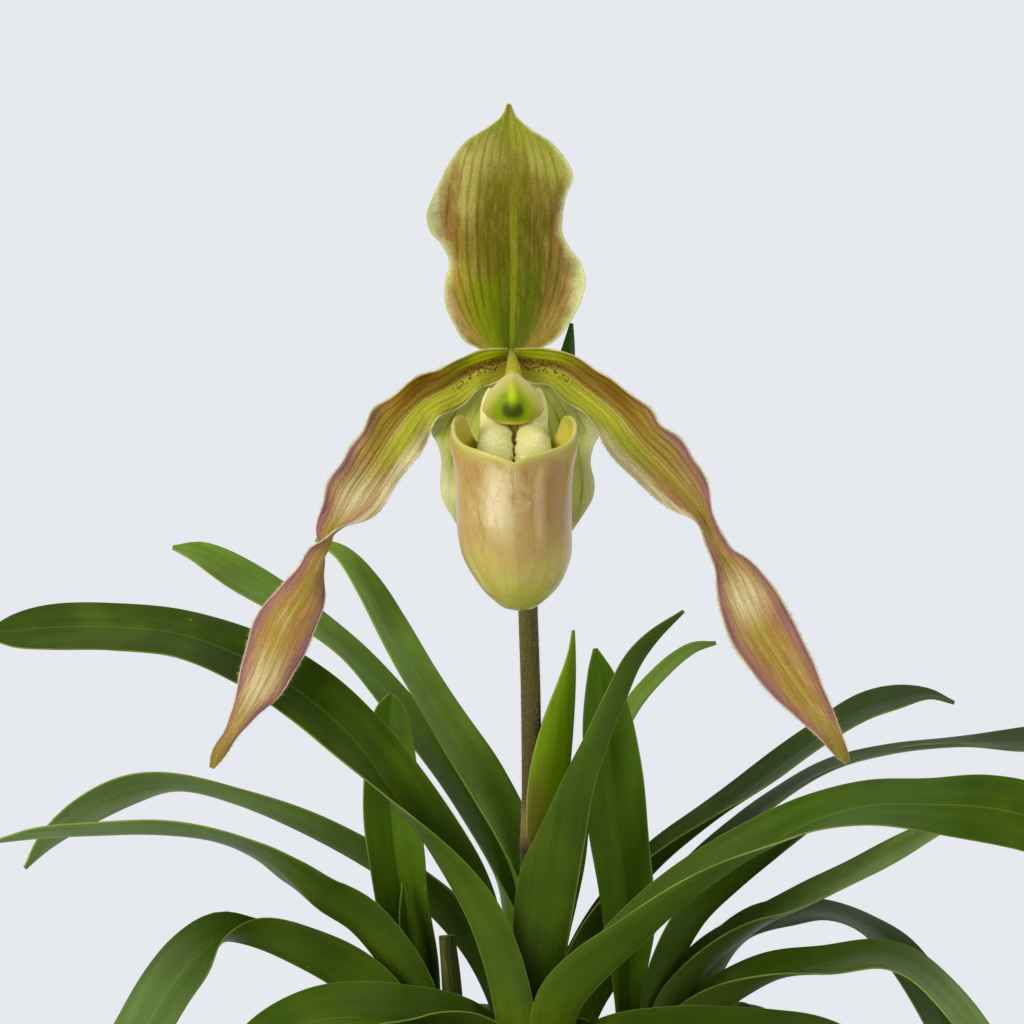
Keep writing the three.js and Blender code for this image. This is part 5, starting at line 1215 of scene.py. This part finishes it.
def hairs_on_margin(rows, lean, ruffle, count, first, last, seed):
    """Roots and directions of hairs along both margins of a blade."""
    draw = np.random.default_rng(seed)
    shares = np.sort(draw.uniform(first, last, count))
    middle = blade_form(rows, lean, shares, np.array([-1.0, -0.9, 0.9, 1.0]), ruffle)[0]
    roots = np.concatenate([middle[:, 0], middle[:, 3]])
    leans = np.concatenate([middle[:, 0] - middle[:, 1], middle[:, 3] - middle[:, 2]])
    return roots, unit(leans)


def hair_stuff():
    """Plant hair: pale straw, thin enough to glow against the light."""
    return Finish("plant_hair", "#b5a878", 0.6, **{"Sheen Weight": 0.2}).done()


class ORCHID_OT_stem(bpy.types.Operator):
    """Raise the hairy stem, the ridged ovary and the sheaths"""

    bl_idname = "orchid.stem"
    bl_label = "Stem"

    def execute(self, context):
        bark = stem_skin()
        # The second green of each sheath is painted shade on one flank
        green = fresh_sheath("fresh_sheath", "#668600", "#273d00")
        deep = fresh_sheath("green_bract", "#2f5210", "#1f3c10")
        ring = (NODE_HEIGHT - CROWN_TOP) / (STEM_TOP[2] - CROWN_TOP)

        def swell(share, turn):
            return 0.12 * bump(share, ring, 0.02) - 0.03 * np.cos(2 * turn + 5 * share)

        def ribs(share, turn):
            return 0.07 * np.cos(6 * turn) * np.sin(share * math.pi)

        stem = add_rings(Skin(), rod_rings(STEM_ROWS, 160, 40, swell))
        stand_in("flower_stem", stem, "stem", bark)
        seed_pod = add_rings(Skin(), rod_rings(OVARY_ROWS, 80, 60, ribs))
        stand_in("ovary", seed_pod, "stem", bark)
        sheath = add_blade(Skin(), SHEATH_ROWS, -1, 70, 26, 0.7)
        stand_in("stem_sheath", sheath, "sheath", green)
        bract = add_blade(Skin(), BRACT_ROWS, -1, 60, 24, 0.7)
        stand_in("floral_bract", bract, "sheath", deep)

        def torn(share, side):
            return 0.5 * np.sin(side * 19) * np.clip(share - 0.7, 0, 1)

        old = add_blade(Skin(), OLD_SHEATH_ROWS, -1, 40, 30, 0.8, ruffle=torn, margin=0.4)
        stand_in("old_sheath", old, "dry_sheath", dry_sheath())
        return {"FINISHED"}


class ORCHID_OT_hairs(bpy.types.Operator):
    """Set fine hairs on the stem, the ovary and the petals' margins"""

    bl_idname = "orchid.hairs"
    bl_label = "Hairs"

    def execute(self, context):
        length = context.scene.orchid_flower.hair / MM
        stuff = hair_stuff()
        skin = Skin()
        for rows, count, seed in ((STEM_ROWS, 5200, 3), (OVARY_ROWS, 2600, 4)):
            roots, leans = hairs_on_rod(rows, count, seed)
            add_hairs(skin, roots, leans, 0.6 * length, 0.035)
        make_piece("stem_hairs", skin, [stuff])
        fringe = Skin()
        for table, lean, seed in ((LEFT_PETAL, 1, 5), (RIGHT_PETAL, -1, 6)):
            roots, leans = hairs_on_margin(petal_rows(table), lean, petal_ruffle, 700, 0.12, 0.99, seed)
            add_hairs(fringe, roots, leans, 0.8 * length, 0.03)
        make_piece("petal_hairs", fringe, [stuff])
        bloom = add_hairs(Skin(), *hairs_on_rod(COLUMN_ROWS, 900, 7), 0.45 * length, 0.025)
        make_piece("column_hairs", bloom, [stuff])
        return {"FINISHED"}


# The pot, the bark and the crowns

def glazed_stoneware(tone):
    """Glazed stoneware: a satin pale glaze with fine specks, thin and brown where the pot stands."""
    finish = Finish("glazed_stoneware", tone, 0.36, **{"Coat Weight": 0.3, "Coat Roughness": 0.25})
    finish.shade(finish.grain(30), 0.035)
    finish.tint("#8f826a", finish.specks(2.6, 0.12, 0.05), 0.55)
    height = add_node(finish.tree, "ShaderNodeSeparateXYZ", {0: finish.place}).outputs[2]
    finish.tint("#b39a78", finish.fade(height, 2.4 * MM, 0.8 * MM, 0, 0.9))
    # Throwing rings stand about 3.5 mm apart
    finish.raise_by(finish.reckon("SINE", finish.times(height, 2 * math.pi / (3.5 * MM))), 0.025)
    finish.raise_by(finish.grain(6), 0.08)
    return finish.done(0.7)


def pine_bark():
    """Pine bark: dry flaky plates, red brown inside and grey on the weathered face."""
    finish = Finish("pine_bark", "#6b4226", 0.88)
    finish.tint("#3c2414", finish.fade(finish.grain(3.2), 0.4, 0.65))
    finish.tint("#8d6a48", finish.fade(finish.grain(11), 0.52, 0.7, 0, 0.8))
    finish.tint("#9a8c78", finish.fade(finish.grain(1.4), 0.6, 0.75, 0, 0.6))
    finish.raise_by(finish.grain(1.6, stretch=(1, 1, 2.5)), 0.6)
    finish.raise_by(finish.grain(0.5), 0.15)
    return finish.done()


def rooted_crown():
    """The crown: fibrous brown rhizome with dry husks."""
    finish = Finish("fibrous_crown", "#6d5a34", 0.85)
    finish.tint("#8a8a3a", finish.fade(finish.grain(4), 0.45, 0.7))
    finish.raise_by(finish.grain(0.8, stretch=(1, 1, 0.1)), 0.4)
    return finish.done()


def pot_radius(z):
    """The radius of the pot's plain wall outside, at a height."""
    return POT["foot"] + (POT["rim"] - POT["proud"] - POT["foot"]) * z / POT["height"]


def arc(centre, radius, start, end, count=8):
    """Points of an arc in the pot's section, from one angle to another in degrees."""
    turns = np.radians(np.linspace(start, end, count))
    return [(centre[0] + radius * math.cos(turn), centre[1] + radius * math.sin(turn)) for turn in turns]


def pot_section():
    """The pot's section from the middle of its foot out, over the rim and down inside."""
    height, rim, foot, wall, floor = (POT[key] for key in ("height", "rim", "foot", "wall", "floor"))
    under = height - POT["band"]
    mouth = rim - wall - POT["proud"]
    section = [(0, 0), (foot - 9, 0), *arc((foot - 2.2, 2.2), 2.2, -90, 0)]
    section += [(pot_radius(z), z) for z in np.linspace(6, under - 2.5, 14)]
    section += [(pot_radius(under) + 0.1, under - 1.2), *arc((rim - 1.1, under + 1.1), 1.1, -80, 0)]
    section += [*arc((rim - 1.4, height - 1.4), 1.4, 0, 90),
                *arc((mouth + 1.2, height - 1.2), 1.2, 90, 180)]
    section += [(pot_radius(z) - wall, z) for z in np.linspace(90, 8, 12)]
    section += [*arc((pot_radius(floor) - wall - 3, floor + 3), 3, 0, -90), (0, floor)]
    return section


class PotSizes(bpy.types.PropertyGroup):
    """How the pot and its filling are drawn."""

    sides: bpy.props.IntProperty(
        name="Sides", description="Sides of the pot's round wall", default=144, min=24, max=360)
    glaze: bpy.props.StringProperty(
        name="Glaze", description="Colour of the glaze, as sRGB hex", default="#d9d3c6")
    chips: bpy.props.IntProperty(
        name="Chips", description="Bark chips on the surface", default=330, min=20, max=900)


class ORCHID_OT_pot(bpy.types.Operator):
    """Throw the glazed pot and drill its drain holes"""

    bl_idname = "orchid.pot"
    bl_label = "Pot"

    def execute(self, context):
        sizes = context.scene.orchid_pot
        # A tiny ring closes the middle of the foot and of the floor
        section = [(max(radius, 0.02), z) for radius, z in pot_section()]
        skin = add_rings(Skin(), lathed(section, sizes.sides))
        piece = make_piece("pot_skin", skin, [glazed_stoneware(sizes.glaze)], nodes=["pot"],
                           crease=math.radians(35))
        drills = bmesh.new()
        for i in range(DRAIN["count"]):
            around = 2 * math.pi * i / DRAIN["count"]
            bit = bmesh.ops.create_cone(drills, cap_ends=True, segments=40, depth=30 * MM,
                                        radius1=DRAIN["radius"] * MM, radius2=DRAIN["radius"] * MM)
            bmesh.ops.translate(drills, verts=bit["verts"], vec=(
                DRAIN["ring"] * MM * math.cos(around), DRAIN["ring"] * MM * math.sin(around), 0))
        bits = bpy.data.meshes.new("drain_drills")
        drills.to_mesh(bits)
        drills.free()
        drill = bpy.data.objects.new("drain_drills", bits)
        context.scene.collection.objects.link(drill)
        cut = piece.modifiers.new("Drain", "BOOLEAN")
        cut.object = drill
        cut.operation = "DIFFERENCE"
        context.view_layer.update()
        drilled = bpy.data.meshes.new_from_object(piece.evaluated_get(context.evaluated_depsgraph_get()))
        piece.modifiers.remove(cut)
        piece.data = drilled
        bpy.data.objects.remove(drill)
        return {"FINISHED"}


def bark_chip(draw, long):
    """A flaky, torn chip of bark about its own middle: a rounded slab roughened by noise."""
    sizes = np.array([long, long * draw.uniform(0.45, 0.8), draw.uniform(2.6, 4.6)]) / 2
    chip = bmesh.new()
    bmesh.ops.create_cube(chip, size=2.0)
    bmesh.ops.subdivide_edges(chip, edges=chip.edges, cuts=4, use_grid_fill=True)
    offset = Vector(draw.uniform(-50, 50, 3))
    points = []
    for vertex in chip.verts:
        spot = vertex.co.copy()
        round_off = 0.6 + 0.4 / max(spot.length / 1.15, 1)
        # Noise in lumps of 3 mm and of 1 mm tears the rounded slab
        body = Vector((spot.x * sizes[0], spot.y * sizes[1], spot.z * sizes[2])) * round_off
        wobble = noise.noise_vector(body * 0.33 + offset) * 1.5 + noise.noise_vector(body + offset) * 0.5
        points.append(body + wobble)
    faces = [[vertex.index for vertex in face.verts] for face in chip.faces]
    chip.free()
    return np.array(points), faces


def turned(points, tilt_x, tilt_y, spin):
    """Points turned about x, y and then z, in radians."""
    (cx, sx), (cy, sy), (cz, sz) = ((math.cos(a), math.sin(a)) for a in (tilt_x, tilt_y, spin))
    about_x = np.array([[1, 0, 0], [0, cx, -sx], [0, sx, cx]])
    about_y = np.array([[cy, 0, sy], [0, 1, 0], [-sy, 0, cy]])
    about_z = np.array([[cz, -sz, 0], [sz, cz, 0], [0, 0, 1]])
    return points @ (about_z @ about_y @ about_x).T


BARK_TOP = 97
# Radians from one chip to the next, which spreads them evenly over the mix
GOLDEN_ANGLE = 2.39996
# The radius that each fan's leaf bases take up, with a little room, which chips stay clear of
CROWN_RADII = {"front": 10.7, "left": 9.2, "right": 9.2, "back": 12.3, "far": 13.1, "young": 5.1}


class ORCHID_OT_bark(bpy.types.Operator):
    """Heap the bark chips round the crowns"""

    bl_idname = "orchid.bark"
    bl_label = "Bark"

    def execute(self, context):
        draw = np.random.default_rng(7)
        # Unseeded noise starts from the clock, so that the chips would differ at each run
        noise.seed_set(7)
        inside = [(pot_radius(z) - POT["wall"] - 0.9, z) for z in (6, 40, 70, 90, BARK_TOP - 2)]
        section = [(0.05, 6), *inside, (inside[-1][0] - 2, BARK_TOP - 1), (0.05, BARK_TOP - 1)]
        skin = add_rings(Skin(), lathed(section, 96))
        count = context.scene.orchid_pot.chips
        wall = pot_radius(BARK_TOP) - POT["wall"] - 1
        for i in range(count):
            long = draw.uniform(7, 15)
            out = (wall - 0.5 * long) * math.sqrt((i + 0.5) / count)
            around = i * GOLDEN_ANGLE
            spot = np.array([out * math.cos(around), out * math.sin(around),
                             BARK_TOP - 1 + draw.uniform(0, 4.2)])
            points, faces = bark_chip(draw, long)
            points = turned(points, *draw.uniform(-0.35, 0.35, 2), draw.uniform(0, 2 * math.pi)) + spot
            clear = all(math.hypot(spot[0] - FANS[fan][0], spot[1] - FANS[fan][1]) > radius + 0.3 * long
                        for fan, radius in CROWN_RADII.items())
            if clear:
                skin.join(points, faces)
        make_piece("bark_mix_chips", skin, [pine_bark()], nodes=["bark_mix"])
        fibre = rooted_crown()
        for fan in FANS:
            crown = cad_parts["crown_" + fan]
            crown.data.materials.clear()
            crown.data.materials.append(fibre)
        return {"FINISHED"}


def matt_paper(tone):
    """Matt paper: a plain floor that takes no more than the plant's soft shadow."""
    return Finish("matt_paper", tone, 0.9).done()


class StageSettings(bpy.types.PropertyGroup):
    """The floor, the light and the camera."""

    floor_radius: bpy.props.FloatProperty(
        name="Floor radius", description="Radius of the plain round floor",
        default=1.3, unit="LENGTH")
    floor_tone: bpy.props.StringProperty(
        name="Floor tone", description="Colour of the floor, as sRGB hex", default="#dfe2e6")
    air_tone: bpy.props.StringProperty(
        name="Air tone", description="Colour of the light air behind, as sRGB hex", default="#e6e9ee")
    lamp_tone: bpy.props.StringProperty(
        name="Lamp tone", description="Colour of the lamps, as sRGB hex", default="#fff9ec")
    room_tone: bpy.props.StringProperty(
        name="Room tone", description="Colour of the air on the camera's side, as sRGB hex",
        default="#93928d")


class ORCHID_OT_stage(bpy.types.Operator):
    """Lay the floor, hang the soft lights and set the camera"""

    bl_idname = "orchid.stage"
    bl_label = "Stage"

    def execute(self, context):
        scene, settings = context.scene, context.scene.orchid_stage
        mesh = bpy.data.meshes.new("floor")
        disc = bmesh.new()
        bmesh.ops.create_circle(disc, cap_ends=True, segments=128, radius=settings.floor_radius)
        disc.to_mesh(mesh)
        disc.free()
        mesh.materials.append(matt_paper(settings.floor_tone))
        floor = bpy.data.objects.new("floor", mesh)
        scene.collection.objects.link(floor)

        world = bpy.data.worlds.new("soft_air")
        world.use_nodes = True
        air = world.node_tree
        # Pale behind and above the plant, as a lit backdrop is, and dimmer on the camera's side
        towards = add_node(air, "ShaderNodeSeparateXYZ", {0: add_node(
            air, "ShaderNodeTexCoord").outputs["Generated"]})
        behind = add_node(air, "ShaderNodeMapRange", {
            "Value": towards.outputs[1], "From Min": -0.35, "From Max": 0.55},
            interpolation_type="SMOOTHSTEP")
        tone = add_node(air, "ShaderNodeMix", {
            0: behind.outputs[0], 6: linear(settings.room_tone), 7: linear(settings.air_tone)},
            data_type="RGBA")
        air.links.new(tone.outputs[2], air.nodes["Background"].inputs["Color"])
        scene.world = world
        scene.view_settings.view_transform = "Standard"

        target = Vector((0.0, 0.0, 0.2))
        for name, place, wide, tall, power in (
            ("key_light", (-1.2, -1.05, 0.74), 1.0, 1.48, 30),
            ("fill_light", (1.35, -0.85, 0.7), 0.5, 1.3, 8),
            ("top_light", (0.0, 0.2, 1.7), 1.2, 1.2, 6),
        ):
            lamp = bpy.data.lights.new(name, "AREA")
            lamp.shape = "RECTANGLE"
            lamp.size, lamp.size_y, lamp.energy = wide, tall, power
            lamp.color = linear(settings.lamp_tone)[:3]
            light = bpy.data.objects.new(name, lamp)
            light.location = place
            light.rotation_euler = (target - light.location).to_track_quat("-Z", "Y").to_euler()
            scene.collection.objects.link(light)

        lens = bpy.data.cameras.new("front_view")
        lens.sensor_width = 36
        lens.lens = lens.sensor_width * VIEW["distance"] / VIEW["wide"]
        camera = bpy.data.objects.new("front_view", lens)
        camera.location = [VIEW["x"] * MM, -VIEW["distance"] * MM, VIEW["z"] * MM]
        camera.rotation_euler = (math.pi / 2, 0, 0)
        scene.collection.objects.link(camera)
        scene.camera = camera
        return {"FINISHED"}


class ORCHID_PT_panel(bpy.types.Panel):
    """Lists the steps in the order in which they are taken"""

    bl_idname = "ORCHID_PT_panel"
    bl_label = "Orchid"
    bl_space_type = "VIEW_3D"
    bl_region_type = "UI"
    bl_category = "Orchid"

    def draw(self, context):
        for step in OPERATORS:
            self.layout.operator(step.bl_idname)
        for group in GROUPS:
            settings = getattr(context.scene, group)
            for name in settings.__annotations__:
                self.layout.prop(settings, name)


OPERATORS = (ORCHID_OT_leaves, ORCHID_OT_sepals, ORCHID_OT_petals, ORCHID_OT_pouch,
             ORCHID_OT_column, ORCHID_OT_stem, ORCHID_OT_hairs, ORCHID_OT_pot, ORCHID_OT_bark,
             ORCHID_OT_stage)
GROUPS = {"orchid_leaves": LeafSizes, "orchid_flower": FlowerSizes, "orchid_pot": PotSizes,
          "orchid_stage": StageSettings}
CLASSES = (*GROUPS.values(), *OPERATORS, ORCHID_PT_panel)


def register():
    for one in CLASSES:
        bpy.utils.register_class(one)
    for name, group in GROUPS.items():
        setattr(bpy.types.Scene, name, bpy.props.PointerProperty(type=group))


def unregister():
    for name in GROUPS:
        delattr(bpy.types.Scene, name)
    for one in reversed(CLASSES):
        bpy.utils.unregister_class(one)


def main():
    register()
    for step in OPERATORS:
        area, name = step.bl_idname.split(".")
        getattr(getattr(bpy.ops, area), name)()


if __name__ == "__main__":
    main()
